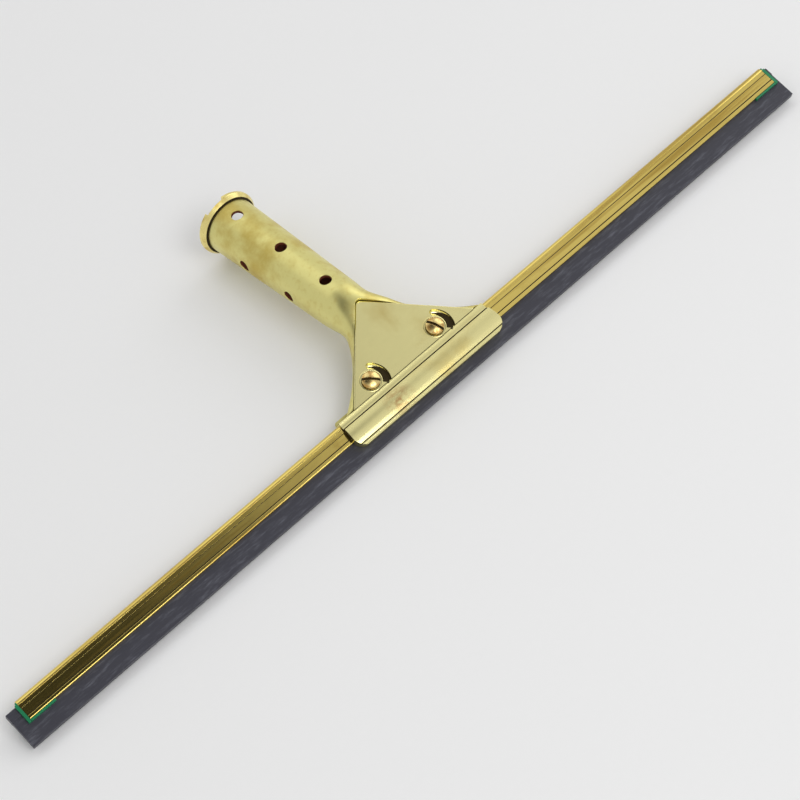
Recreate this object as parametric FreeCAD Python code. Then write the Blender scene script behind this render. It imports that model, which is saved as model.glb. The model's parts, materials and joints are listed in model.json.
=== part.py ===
import FreeCAD, Part

import math
import os

from FreeCAD import Vector

# A brass window squeegee with a blade held by a screw clamp. Everything is drawn in the plane of the blade:
# X runs along the blade, Y from the wiping edge of the rubber towards the handle, and Z out of the front.
# X = 0 is the middle of the handle, and Z = 0 is the middle of the rubber. At the end the finished pieces are
# tipped back, so that the wiping edge and the rim of the collar both stand on the floor at Z = 0.

# Driving dimensions, mm and degrees

# Rubber
rubber_overhang = 9.5
rubber_shift = -1.8
rubber_thickness = 3.0
rubber_reach = 9.4
bead_width = 4.2
bead_height = 4.4
bead_round = 0.8

# Channel
channel_length = 450.0
channel_height = 10.4
channel_wall = 0.8
channel_top_round = 2.4
channel_bottom_round = 0.5
bead_gap = 1.3
lip_height = 1.1
lip_bead_height = 1.7
lip_groove_width = 0.5
lip_groove_depth = 0.3
face_recess_depth = 0.2
face_recess_height = 5.6

# End clips
clip_leg_thickness = 1.4
clip_bridge_thickness = 0.6
clip_rail_length = 13.0
clip_rail_height = 0.85
clip_inset = 0.1
clip_spigot_length = 12.0
clip_spigot_half_width = 1.8

# Fan of the handle, with heights above the seat of the channel
fan_half_width = 40.5
fan_shift = 2.2
fan_shift_drop = 11.0
fan_height = 38.0
seat_step = 0.85
round_above_neck = 5.0
join_step = 0.02
rear_jaw_thickness = 3.0
rear_jaw_extra_width = 1.5
rear_jaw_lip = 1.8
rear_jaw_round = 1.0
rear_jaw_corner = 5.0

# Tube of the handle
handle_tilt = 21.0
axis_below_neck = 8.0
axis_height = 0.3
tube_length = 90.0
tube_end_radius = 13.4
tube_neck_radius = 11.4
tube_wall = 1.7
bore_tip_radius = 2.4
bore_tip_length = 4.8
drill_radius = 2.8
drill_start = 8.6
drill_end = 7.1
drill_count = 5

# End collar
collar_rim_height = 2.4
collar_rim_length = 4.2
collar_rim_round = 0.8
collar_slope_height = 1.5
collar_slope_length = 2.4
collar_spigot_length = 4.5
collar_wall = 1.6
collar_seat_step = 0.3
notch_angle = 40.0
notch_turn = 14.0
notch_depth = 2.0
stake_radius = 0.8
stake_depth = 0.6
stake_turn = 107.0

# Front jaw
plate_thickness = 3.0
plate_inset = 4.5
plate_height = 36.0
plate_top_round = 2.5
strip_thickness = 1.15
strip_height = 4.25
strip_dip = 0.3
bar_thickness = 2.75
bar_crown = 0.7
bar_step = 0.4
bar_lower_step = 0.4
bar_lower_set_back = 0.6
bar_toe_set_back = 2.4
bar_toe_rise = 0.35
bar_toe_middle = 1.3
bar_lip = 5.0
bar_shoulder_height = 1.7
bar_top_extra_width = 2.5
bar_extra_width = 4.0
bar_corner = 5.0
lip_clearance = 0.45

# Screws
screw_spacing = 38.7
screw_height = 4.6
screw_radius = 2.2
screw_length = 9.6
head_radius = 4.2
head_edge_height = 1.1
head_dome_height = 1.2
slot_width = 1.2
slot_depth = 1.3
left_slot_turn = -42.0
right_slot_turn = -68.0
land_margin = 1.1
land_height = 0.2
crescent_width = 3.5
crescent_depth = 1.5
crescent_start = -42.0
crescent_sweep = 96.0

# Clearances
rubber_clearance = 0.1
clip_clearance = 0.1
clip_roof_clearance = 0.3
seat_clearance = 0.05
top_clearance = 0.2
pocket_clearance = 0.25
clamp_gap = 0.3
thread_clearance = 0.06
screw_hole_clearance = 0.2
collar_clearance = 0.02

# Sizes that follow from them
rubber_length = channel_length + rubber_overhang
half_rubber = rubber_thickness / 2
slot_half = half_rubber + rubber_clearance
cavity_half = bead_width / 2 + rubber_clearance
half_channel = cavity_half + channel_wall + face_recess_depth
channel_bottom = rubber_reach
channel_top = channel_bottom + channel_height
rubber_height = channel_top - channel_wall - bead_gap
clip_half_depth = half_channel - clip_inset
seat_level = channel_top + top_clearance
jaw_face = half_channel + seat_clearance
pocket_floor = jaw_face - seat_step
fan_half_thickness = pocket_floor + plate_thickness
neck_level = seat_level + fan_height
plate_back = pocket_floor + clamp_gap
plate_front = plate_back + plate_thickness
plate_half_width = fan_half_width - plate_inset
plate_top_level = seat_level + plate_height
strip_top = seat_level - pocket_clearance
strip_front = jaw_face + strip_thickness
bar_top_level = strip_top - strip_height
bar_front = jaw_face + bar_thickness
bar_bottom_level = channel_bottom - bar_lip
bar_shoulder_level = bar_bottom_level + bar_shoulder_height
bar_half_width = fan_half_width + bar_extra_width
bar_top_half_width = fan_half_width + bar_top_extra_width
screw_level = seat_level + screw_height
land_radius = head_radius + land_margin
crescent_radius = land_radius + crescent_width
collar_rim_radius = tube_end_radius + collar_rim_height
collar_spigot_radius = tube_end_radius - tube_wall + collar_seat_step
pole_bore_radius = collar_spigot_radius - collar_wall
overlap = 1.0
field_overlap = 0.3
jaw_overlap = 3.0
tall = 60.0
tilt = math.radians(handle_tilt)
tube_out = Vector(0, math.cos(tilt), -math.sin(tilt))
tube_up = Vector(0, math.sin(tilt), math.cos(tilt))
axis_level = neck_level - axis_below_neck
axis_point = Vector(0, axis_level, axis_height)
collar_face = axis_point + tube_out * tube_length
round_length = tube_length - (axis_below_neck + round_above_neck) / math.cos(tilt)
drill_pitch = (round_length - drill_start - drill_end) / (drill_count - 1)
bore_depth = round_length

# Sections of the fan: drop below the neck, share of the tube's lean, height added to the fan's half
# thickness, and how square the section is (2 is an ellipse)
fan_shape = (
    (0.0, 0.85, 5.0, 2.0),
    (5.0, 0.55, 2.9, 2.3),
    (11.0, 0.20, 1.0, 3.0),
    (18.0, 0.0, 0.2, 4.0),
    (27.0, 0.0, 0.0, 5.0),
    (fan_height, 0.0, 0.0, 6.0),
)


def box(x0, x1, y0, y1, z0, z1):
    """A box between two corners."""
    return Part.makeBox(x1 - x0, y1 - y0, z1 - z0, Vector(x0, y0, z0))


def rounded(shape, radius, picks):
    """Round the edges for which picks(middle, direction) is true."""
    edges = []
    for edge in shape.Edges:
        start = edge.valueAt(edge.FirstParameter)
        end = edge.valueAt(edge.LastParameter)
        if picks((start + end) * 0.5, (end - start).normalize()):
            edges.append(edge)
    return shape.makeFillet(radius, edges)


def along_x(section, x0, x1):
    """A closed outline in the YZ plane, drawn out from x0 to x1."""
    face = Part.Face(Part.Wire(section))
    face.translate(Vector(x0, 0, 0))
    return face.extrude(Vector(x1 - x0, 0, 0))


def line(a, b):
    return Part.LineSegment(a, b).toShape()


def arc(a, b, c):
    return Part.Arc(a, b, c).toShape()


def yz(y, z):
    return Vector(0, y, z)


def fan_half(level):
    """Half width of the fan: a parabola that leaves the neck and opens to the full width at the seat."""
    drop = (neck_level - level) / (neck_level - seat_level)
    return tube_neck_radius + (fan_half_width - tube_neck_radius) * drop ** 2


def tube_radius(from_collar):
    """Outer radius of the tapered tube at a distance from the collar."""
    return tube_end_radius + (tube_neck_radius - tube_end_radius) * from_collar / tube_length


# Channel and rubber

def make_channel():
    """Drawn C-section: rounded back, shallow recessed faces, a bead along each lip and an inner cavity."""
    half = channel_length / 2
    body = box(-half, half, channel_bottom, channel_top, -half_channel, half_channel)
    long_edge = lambda direction: abs(direction.x) > 0.99
    body = rounded(body, channel_top_round,
                   lambda middle, direction: long_edge(direction) and middle.y > channel_top - 0.1)
    body = rounded(body, channel_bottom_round,
                   lambda middle, direction: long_edge(direction) and middle.y < channel_bottom + 0.1)
    cavity_top = channel_top - channel_wall
    cavity = box(-half - overlap, half + overlap, channel_bottom + lip_height, cavity_top,
                 -cavity_half, cavity_half)
    slot_top = channel_bottom + lip_height + overlap
    slot = box(-half - overlap, half + overlap, channel_bottom - overlap, slot_top,
               -slot_half, slot_half)
    body = body.cut(cavity.fuse(slot))
    recess_bottom = channel_bottom + lip_bead_height + lip_groove_width
    groove_bottom = channel_bottom + lip_bead_height
    for side in (-1, 1):
        inner = side * (half_channel - face_recess_depth)
        outer = side * (half_channel + overlap)
        recess = box(-half - overlap, half + overlap, recess_bottom, recess_bottom + face_recess_height,
                     min(inner, outer), max(inner, outer))
        inner = side * (half_channel - lip_groove_depth)
        groove = box(-half - overlap, half + overlap, groove_bottom, recess_bottom,
                     min(inner, outer), max(inner, outer))
        body = body.cut(recess.fuse(groove))
    return body


def split_channel(channel):
    """The drawn section as a spine and two walls with their lips, so that its inside stays open."""
    end = channel_length / 2 + overlap
    cavity_top = channel_top - channel_wall
    spine = box(-end, end, cavity_top, channel_top + overlap, -tall, tall)
    return {
        "channel_spine": channel.common(spine),
        "channel_front_wall": channel.common(box(-end, end, 0, cavity_top, 0, tall)),
        "channel_rear_wall": channel.common(box(-end, end, 0, cavity_top, -tall, 0)),
    }


def make_rubber():
    """Rubber strip with a square wiping edge and a rounded bead along its top."""
    x0 = rubber_shift - rubber_length / 2
    x1 = rubber_shift + rubber_length / 2
    strip = box(x0, x1, 0, rubber_height - bead_round, -half_rubber, half_rubber)
    bead = box(x0, x1, rubber_height - bead_height, rubber_height, -bead_width / 2, bead_width / 2)
    bead = rounded(bead, bead_round, lambda middle, direction: abs(direction.x) > 0.99)
    return strip.fuse(bead).removeSplitter()


def make_clip(side):
    """Moulded clip on a channel end: legs and rails beside the rubber and a spigot above its bead."""
    end = channel_length / 2 + clip_clearance
    rail_top = channel_bottom - clip_clearance
    rail_bottom = rail_top - clip_rail_height
    bead_top = rubber_height + clip_clearance
    spigot_top = channel_top - channel_wall - clip_roof_clearance
    plate = box(end, end + clip_leg_thickness, rail_bottom, spigot_top, -clip_half_depth, clip_half_depth)
    upper = box(end + clip_bridge_thickness, end + clip_leg_thickness + overlap,
                bead_top, spigot_top + overlap, -clip_half_depth - overlap, clip_half_depth + overlap)
    rails = box(end - clip_rail_length, end, rail_bottom, rail_top, -clip_half_depth, clip_half_depth)
    spigot = box(end - clip_spigot_length, end + clip_bridge_thickness, bead_top, spigot_top,
                 -clip_spigot_half_width, clip_spigot_half_width)
    body_room = box(end - tall, end + tall, rail_bottom - overlap, bead_top, -slot_half, slot_half)
    bead_room = box(end - tall, end + tall, rubber_height - bead_height - clip_clearance, bead_top,
                    -cavity_half, cavity_half)
    clip = plate.cut(upper).fuse(rails).fuse(spigot).cut(body_room.fuse(bead_room)).removeSplitter()
    if side < 0:
        clip = clip.mirror(Vector(0, 0, 0), Vector(1, 0, 0))
    return clip


# Handle

def ring_section(centre, across, half_width, half_height, power):
    """A closed smooth loop between an ellipse (power 2) and a rounded box (higher powers)."""
    count = 32
    points = []
    for step in range(count):
        turn = 2 * math.pi * step / count
        c = math.cos(turn)
        s = math.sin(turn)
        x = math.copysign(abs(c) ** (2 / power), c) * half_width
        h = math.copysign(abs(s) ** (2 / power), s) * half_height
        points.append(centre + Vector(x, 0, 0) + across * h)
    curve = Part.BSplineCurve()
    curve.interpolate(points, PeriodicFlag=True)
    return Part.Wire(curve.toShape())


def make_tube():
    """Tapered tube, solid here, that runs a little way into the fan."""
    length = round_length + overlap
    return Part.makeCone(tube_radius(0), tube_radius(length), length, collar_face, tube_out * -1)


def make_fan():
    """Fan that starts as round as the tube and grows flatter and wider down to the seat."""
    radius = tube_radius(round_length) + join_step
    centre = collar_face - tube_out * round_length
    sections = [ring_section(centre, tube_up, radius, radius, 2)]
    for drop, lean, extra, power in fan_shape:
        level = neck_level - drop
        angle = tilt * lean
        height = (axis_height - (level - axis_level) * math.tan(tilt)) * lean
        across = Vector(0, math.sin(angle), math.cos(angle))
        half_height = fan_half_thickness + extra
        centre = Vector(fan_shift * min(1, drop / fan_shift_drop), level, height)
        sections.append(ring_section(centre, across, fan_half(level), half_height, power))
    return Part.makeLoft(sections, True, False)


def plate_outline(grow):
    """Outline of the field plate in the XY plane: straight sides, a rounded top, grown by a clearance."""
    centre_level = plate_top_level - plate_top_round
    reach = math.hypot(plate_half_width, centre_level - seat_level)
    lean = math.atan2(plate_half_width, centre_level - seat_level)
    normal_turn = lean + math.acos(plate_top_round / reach) - math.pi / 2
    normal = Vector(math.cos(normal_turn), math.sin(normal_turn), 0)
    foot = Vector(plate_half_width, seat_level, 0) + normal * grow
    shoulder = Vector(0, centre_level, 0) + normal * (plate_top_round + grow)
    top = Vector(0, plate_top_level + grow, 0)
    base = Vector(foot.x, seat_level - overlap, 0)
    right = [base, foot, shoulder]
    left = [Vector(-point.x, point.y, 0) for point in right]
    edges = [line(left[0], right[0]), line(right[0], right[1]), line(right[1], right[2])]
    edges += [arc(right[2], top, left[2]), line(left[2], left[1]), line(left[1], left[0])]
    return Part.Wire(edges)


def plate_prism(grow, z0, z1):
    """The outline of the field plate, in the middle of the fan, as a solid between two heights."""
    face = Part.Face(plate_outline(grow))
    face.translate(Vector(fan_shift, 0, z0))
    return face.extrude(Vector(0, 0, z1 - z0))


def make_rear_jaw():
    """Bar behind the channel that backs the clamp, with rounded edges and lower corners."""
    back = -jaw_face - rear_jaw_thickness
    rear_jaw_half_width = fan_half_width + rear_jaw_extra_width
    rear_jaw_bottom = channel_bottom - rear_jaw_lip
    jaw = box(-rear_jaw_half_width, rear_jaw_half_width, rear_jaw_bottom, seat_level + jaw_overlap,
              back, -jaw_face)
    jaw = rounded(jaw, rear_jaw_corner,
                  lambda middle, direction: abs(direction.z) > 0.99 and middle.y < rear_jaw_bottom + 0.1)
    jaw = rounded(jaw, rear_jaw_round,
                  lambda middle, direction: middle.z < back + 0.1 and abs(direction.x) > 0.99)
    return jaw


def make_bore():
    """Tapered hollow of the tube, with a straight counterbore for the collar's spigot and a coned end."""
    mouth = collar_face + tube_out * overlap
    inward = tube_out * -1
    start = tube_radius(0) - tube_wall
    end = tube_radius(bore_depth) - tube_wall
    hollow = Part.makeCone(start, end, bore_depth, collar_face, inward)
    tip = Part.makeCone(end, bore_tip_radius, bore_tip_length, collar_face + inward * bore_depth, inward)
    seat = Part.makeCylinder(collar_spigot_radius, collar_spigot_length + overlap + collar_clearance,
                             mouth, inward)
    return hollow.fuse(tip).fuse(seat)


def make_drillings():
    """Holes in rows: every other one goes through front and back, the ones between through the sides."""
    holes = []
    for index in range(drill_count):
        centre = collar_face - tube_out * (drill_start + index * drill_pitch)
        direction = tube_up if index % 2 == 0 else Vector(1, 0, 0)
        holes.append(Part.makeCylinder(drill_radius, tall, centre - direction * (tall / 2), direction))
    return holes[0].multiFuse(holes[1:])


def make_handle():
    """Casting: drilled hollow tube, fan with a pocket for the front jaw, tapped holes and the rear jaw."""
    handle = make_tube().fuse(make_fan()).fuse(make_rear_jaw())
    pocket = plate_prism(pocket_clearance, pocket_floor, pocket_floor + tall)
    handle = handle.cut(pocket).cut(make_bore()).cut(make_drillings())
    for side in (-1, 1):
        centre = Vector(side * screw_spacing / 2, screw_level, -tall / 2)
        handle = handle.cut(Part.makeCylinder(screw_radius + thread_clearance, tall, centre))
    return handle


def make_collar():
    """Ring with a rim and a spigot, notched at its open end, with a staked dot on the side of the rim."""
    inward = tube_out * -1
    rim_end = collar_face + tube_out * collar_rim_length
    slope = Part.makeCone(collar_rim_radius - collar_slope_height, collar_rim_radius, collar_slope_length,
                          collar_face, tube_out)
    rim = Part.makeCylinder(collar_rim_radius, collar_rim_length - collar_slope_length, rim_end, inward)
    rim = rim.fuse(slope).removeSplitter()
    rim = rounded(rim, collar_rim_round,
                  lambda middle, direction: (middle - collar_face).dot(tube_out) > collar_slope_length - 0.1)
    spigot = Part.makeCylinder(collar_spigot_radius - collar_clearance, collar_spigot_length + overlap,
                               collar_face + tube_out * overlap, inward)
    bore = Part.makeCylinder(pole_bore_radius, tall, rim_end + tube_out * overlap, inward)
    collar = rim.fuse(spigot).cut(bore)
    for turn in (notch_turn, notch_turn + 180):
        notch = Part.makeCylinder(collar_rim_radius + overlap, notch_depth + overlap,
                                  rim_end + tube_out * overlap, inward, notch_angle)
        middle = notch.CenterOfMass - rim_end
        middle = middle - tube_out * middle.dot(tube_out)
        now = math.degrees(math.atan2(middle.x, middle.dot(tube_up)))
        notch.rotate(rim_end, inward, turn + now)
        collar = collar.cut(notch)
    stake = math.radians(stake_turn)
    radial = Vector(-math.sin(stake), 0, 0) + tube_up * math.cos(stake)
    stake_start = collar_face + tube_out * (collar_rim_length / 2)
    stake_start = stake_start + radial * (collar_rim_radius - stake_depth)
    collar = collar.cut(Part.makeCylinder(stake_radius, stake_depth + overlap, stake_start, radial))
    return collar


# Front jaw and screws

def jaw_section():
    """Section of the strip and the clamp bar: hollow strip, crowned face, shoulder and lower lip."""
    lip_back = half_rubber + lip_clearance
    lip_top = channel_bottom - pocket_clearance
    strip_end = bar_top_level + bar_step
    strip_middle = (strip_top + strip_end) / 2
    bar_middle = (bar_top_level + bar_shoulder_level) / 2
    corner = [
        yz(bar_bottom_level, lip_back),
        yz(lip_top, lip_back),
        yz(lip_top, jaw_face),
        yz(strip_top, jaw_face),
        yz(strip_top, strip_front),
        yz(strip_end, strip_front),
        yz(bar_top_level, bar_front),
        yz(bar_shoulder_level, bar_front),
        yz(bar_shoulder_level - bar_lower_step, bar_front - bar_lower_set_back),
        yz(bar_bottom_level, bar_front - bar_toe_set_back),
    ]
    return [
        line(corner[0], corner[1]),
        line(corner[1], corner[2]),
        line(corner[2], corner[3]),
        line(corner[3], corner[4]),
        arc(corner[4], yz(strip_middle, strip_front - strip_dip), corner[5]),
        line(corner[5], corner[6]),
        arc(corner[6], yz(bar_middle, bar_front + bar_crown), corner[7]),
        line(corner[7], corner[8]),
        arc(corner[8], yz(bar_bottom_level + bar_toe_rise, bar_front - bar_toe_middle), corner[9]),
        line(corner[9], corner[0]),
    ]


def bar_outline():
    """Outline of the clamp bar in the XY plane: a little wider below, with rounded lower corners."""
    bottom = bar_bottom_level - overlap
    top = seat_level + overlap
    low = bar_bottom_level + bar_corner
    flat_half = bar_half_width - bar_corner
    diagonal = bar_corner * (1 - math.sqrt(0.5))
    edges = []
    for side in (1, -1):
        inner = Vector(side * flat_half, bar_bottom_level, 0)
        middle = Vector(side * (bar_half_width - diagonal), bar_bottom_level + diagonal, 0)
        outer = Vector(side * bar_half_width, low, 0)
        upper = Vector(side * bar_top_half_width, top, 0)
        edges.append(arc(inner, middle, outer))
        edges.append(line(outer, upper))
        edges.append(line(inner, Vector(side * flat_half, bottom, 0)))
    edges.append(line(Vector(-flat_half, bottom, 0), Vector(flat_half, bottom, 0)))
    edges.append(line(Vector(-bar_top_half_width, top, 0), Vector(bar_top_half_width, top, 0)))
    return Part.Wire(Part.sortEdges(edges)[0])


def make_crescent(centre):
    """Curved pocket beside a screw land, with one rounded end and one end open to the strip."""
    floor = plate_front - crescent_depth
    base = Vector(centre.x, centre.y, floor)
    outer = Part.makeCylinder(crescent_radius, tall, base, Vector(0, 0, 1), crescent_sweep)
    outer.rotate(base, Vector(0, 0, 1), crescent_start)
    outer = outer.cut(Part.makeCylinder(land_radius, tall, base))
    last = math.radians(crescent_start + crescent_sweep)
    mid_radius = (crescent_radius + land_radius) / 2
    cap_centre = base + Vector(math.cos(last), math.sin(last), 0) * mid_radius
    return outer.fuse(Part.makeCylinder((crescent_radius - land_radius) / 2, tall, cap_centre))


def make_front_jaw():
    """Field plate in the pocket, screw lands, strip and clamp bar in one piece."""
    bar = along_x(jaw_section(), -bar_half_width - overlap, bar_half_width + overlap)
    face = Part.Face(bar_outline())
    bar = bar.common(face.extrude(Vector(0, 0, tall)))
    field = plate_prism(0, plate_back, plate_front)
    field = field.cut(box(-tall, tall, 0, strip_top - field_overlap, -tall, tall))
    jaw = bar.fuse(field)
    for side in (-1, 1):
        centre = Vector(side * screw_spacing / 2, screw_level, 0)
        jaw = jaw.cut(make_crescent(centre))
    for side in (-1, 1):
        centre = Vector(side * screw_spacing / 2, screw_level, plate_back)
        jaw = jaw.fuse(Part.makeCylinder(land_radius, plate_thickness + land_height, centre))
        hole = Part.makeCylinder(screw_radius + screw_hole_clearance, tall, centre - Vector(0, 0, overlap))
        jaw = jaw.cut(hole)
    room = box(-tall, tall, 0, channel_top + overlap, -tall, jaw_face)
    lip = box(-tall, tall, 0, channel_bottom - pocket_clearance, half_rubber + lip_clearance, jaw_face)
    return jaw.cut(room.cut(lip)).removeSplitter()


def make_screw(side, slot_turn):
    """Slotted screw with a domed head, seated on its land."""
    seat = plate_front + land_height
    foot = yz(0, seat - screw_length)
    edge = seat + head_edge_height
    top = edge + head_dome_height
    rise = head_dome_height
    dome_radius = (head_radius ** 2 + rise ** 2) / (2 * rise)
    part_way = head_radius / 2
    height_there = top - dome_radius + math.sqrt(dome_radius ** 2 - part_way ** 2)
    outline = [
        line(Vector(0, 0, foot.z), Vector(screw_radius, 0, foot.z)),
        line(Vector(screw_radius, 0, foot.z), Vector(screw_radius, 0, seat)),
        line(Vector(screw_radius, 0, seat), Vector(head_radius, 0, seat)),
        line(Vector(head_radius, 0, seat), Vector(head_radius, 0, edge)),
        arc(Vector(head_radius, 0, edge), Vector(part_way, 0, height_there), Vector(0, 0, top)),
        line(Vector(0, 0, top), Vector(0, 0, foot.z)),
    ]
    screw = Part.Face(Part.Wire(outline)).revolve(Vector(0, 0, 0), Vector(0, 0, 1), 360)
    slot = box(-head_radius - overlap, head_radius + overlap, -slot_width / 2, slot_width / 2,
               top - slot_depth, top + overlap)
    slot.rotate(Vector(0, 0, 0), Vector(0, 0, 1), slot_turn)
    screw = screw.cut(slot)
    screw.translate(Vector(side * screw_spacing / 2, screw_level, 0))
    return screw


# Standing on the floor

def rest_turn():
    """Angle that puts the wiping edge and the lowest point of the collar's rim at the same height."""
    edge = Vector(0, 0, -half_rubber)
    rim = collar_face + tube_out * (collar_rim_length - collar_rim_round) - tube_up * collar_rim_radius
    return math.degrees(math.atan2(edge.z - rim.z, rim.y - edge.y))


def to_floor(pieces):
    """Tip the pieces back, then move them so that the origin is below the middle of the whole."""
    turn = rest_turn()
    for piece in pieces.values():
        piece.rotate(Vector(0, 0, 0), Vector(1, 0, 0), turn)
    whole = Part.makeCompound(list(pieces.values())).optimalBoundingBox()
    shift = Vector(-whole.Center.x, -whole.Center.y, -whole.ZMin)
    for piece in pieces.values():
        piece.translate(shift)
    return turn, shift


def main():
    pieces = {
        "handle": make_handle(),
        "end_collar": make_collar(),
        "front_jaw": make_front_jaw(),
        "left_screw": make_screw(-1, left_slot_turn),
        "right_screw": make_screw(1, right_slot_turn),
        **split_channel(make_channel()),
        "rubber_blade": make_rubber(),
        "left_end_clip": make_clip(-1),
        "right_end_clip": make_clip(1),
    }
    turn, shift = to_floor(pieces)
    os.makedirs("parts", exist_ok=True)
    for name, piece in pieces.items():
        piece.exportStep("parts/" + name + ".step")
        print(name, piece.ShapeType, len(piece.Solids), piece.isValid(), round(piece.Volume, 1))
    print("turn", round(turn, 4), "shift", shift)
    return pieces, turn, shift


if __name__ == "__main__":
    main()
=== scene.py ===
import json
import math
from types import SimpleNamespace

import bmesh
import bpy
from bpy.props import FloatProperty, FloatVectorProperty, IntProperty, PointerProperty
from mathutils import Matrix, Vector


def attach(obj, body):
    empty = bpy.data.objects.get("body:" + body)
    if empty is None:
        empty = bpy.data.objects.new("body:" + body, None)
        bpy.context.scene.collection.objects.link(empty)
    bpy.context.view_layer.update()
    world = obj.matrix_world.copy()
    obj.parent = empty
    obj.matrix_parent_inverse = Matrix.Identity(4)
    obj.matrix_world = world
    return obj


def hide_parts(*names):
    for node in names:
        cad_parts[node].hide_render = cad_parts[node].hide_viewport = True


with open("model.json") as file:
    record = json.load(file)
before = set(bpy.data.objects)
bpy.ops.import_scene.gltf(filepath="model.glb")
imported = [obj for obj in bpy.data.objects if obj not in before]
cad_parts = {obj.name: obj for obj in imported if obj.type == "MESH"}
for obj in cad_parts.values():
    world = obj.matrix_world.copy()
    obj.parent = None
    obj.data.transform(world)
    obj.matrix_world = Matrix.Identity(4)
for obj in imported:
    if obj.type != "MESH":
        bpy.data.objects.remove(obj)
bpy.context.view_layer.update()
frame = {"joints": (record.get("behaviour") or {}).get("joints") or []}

bl_info = {
    "name": "Brass Window Squeegee",
    "version": (1, 0, 0),
    "blender": (4, 5, 0),
    "location": "View3D > Sidebar > Squeegee",
    "description": "Models a brass window squeegee piece by piece around its CAD frame",
    "category": "Add Mesh",
}

# Every piece is modelled in millimetres in the plane of the blade, as it would lie on a bench: X along the
# blade, Y from the wiping edge towards the handle, Z out of the front. It is then stood in the frame.

MM = 0.001
NEAR = 0.01
FAR = 90.0
MERGE = 0.0005
SMOOTH_BELOW = math.radians(32)
AHEAD = Vector((0, 0, 1))
JOINTS = {joint["name"]: joint for joint in frame["joints"]}

# Gaps between pieces, in millimetres, as in the frame.
CLEARANCES = SimpleNamespace(rubber=0.1, clip=0.1, clip_roof=0.3, seat=0.05, top=0.2, pocket=0.25, clamp=0.3,
                             thread=0.06, screw_hole=0.2, collar=0.02, lip=0.45)

# Soft lights: name, setting that holds the power, place and size in metres.
LAMPS = (
    ("right_light", "right_power", (1.27, 0.15, 0.8), (0.9, 0.9)),
    ("back_light", "back_power", (0.12, 0.9, 1.1), (1.3, 0.7)),
    ("front_light", "front_power", (0.05, -0.95, 1.08), (0.7, 0.5)),
)
FLOOR_SIZE = 8.0
SHADE_WAY = Vector((-0.10, 0.04, 0.99))
SHADE_EDGE = math.radians(26)
SHADE_CORE = math.radians(18.5)


# ---------------------------------------------------------------- sizes and finishes

def length(name, default, description):
    """A size in metres, from a default in millimetres."""
    return FloatProperty(name=name, description=description, default=default * MM, unit="LENGTH",
                         precision=5, min=0.0)


def turn(name, default, description):
    """An angle, from a default in degrees."""
    return FloatProperty(name=name, description=description, default=math.radians(default), subtype="ANGLE")


def colour(name, default, description):
    """A colour without alpha."""
    return FloatVectorProperty(name=name, description=description, default=default, subtype="COLOR",
                               size=3, min=0.0, max=1.0)


def amount(name, default, description, high=1.0):
    """A plain number from 0 upwards."""
    return FloatProperty(name=name, description=description, default=default, min=0.0, max=high)


def count(name, default, description):
    """A whole number of sides, steps or rings."""
    return IntProperty(name=name, description=description, default=default, min=1)


class BladeSizes(bpy.types.PropertyGroup):
    """Channel, rubber and end clips"""
    rubber_overhang: length("Rubber overhang", 9.5, "How much longer the rubber is than the channel")
    rubber_shift: length("Rubber shift", 1.8, "How far the rubber sits to the left of the middle")
    rubber_thickness: length("Rubber thickness", 3.0, "Thickness of the wiping strip")
    rubber_reach: length("Rubber reach", 9.4, "How far the rubber stands out of the channel")
    bead_width: length("Bead width", 4.2, "Width of the bead that the channel holds")
    bead_height: length("Bead height", 4.4, "Height of the bead")
    bead_round: length("Bead round", 0.8, "Rounding of the bead's edges")
    bead_gap: length("Bead gap", 1.3, "Room between the bead and the inside of the channel")
    channel_length: length("Channel length", 450.0, "Length of the brass channel")
    channel_height: length("Channel height", 10.4, "Height of the channel's section")
    channel_wall: length("Channel wall", 0.8, "Wall of the channel")
    top_round: length("Top round", 2.4, "Rounding along the back of the channel")
    lip_round: length("Lip round", 0.5, "Rounding along the lips")
    lip_height: length("Lip height", 1.1, "Height of the lips that grip the rubber")
    lip_bead: length("Lip bead", 1.7, "Height of the raised bead along each lip")
    groove_width: length("Groove width", 0.5, "Width of the groove above that bead")
    groove_depth: length("Groove depth", 0.3, "Depth of that groove")
    face_recess: length("Face recess", 0.2, "Depth of the recessed faces")
    face_height: length("Face height", 5.6, "Height of the recessed faces")
    clip_leg: length("Clip leg", 1.4, "Thickness of a clip outside the channel's end")
    clip_bridge: length("Clip bridge", 0.6, "Thickness of a clip above the rubber's bead")
    clip_rail: length("Clip rail", 13.0, "Length of the rails under the lips")
    clip_rail_height: length("Clip rail height", 0.85, "Height of those rails")
    clip_inset: length("Clip inset", 0.1, "How far a clip stays behind the channel's faces")
    clip_spigot: length("Clip spigot", 12.0, "Length of the tongue inside the channel")
    clip_spigot_half: length("Tongue half width", 1.8, "Half the width of that tongue")


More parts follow.
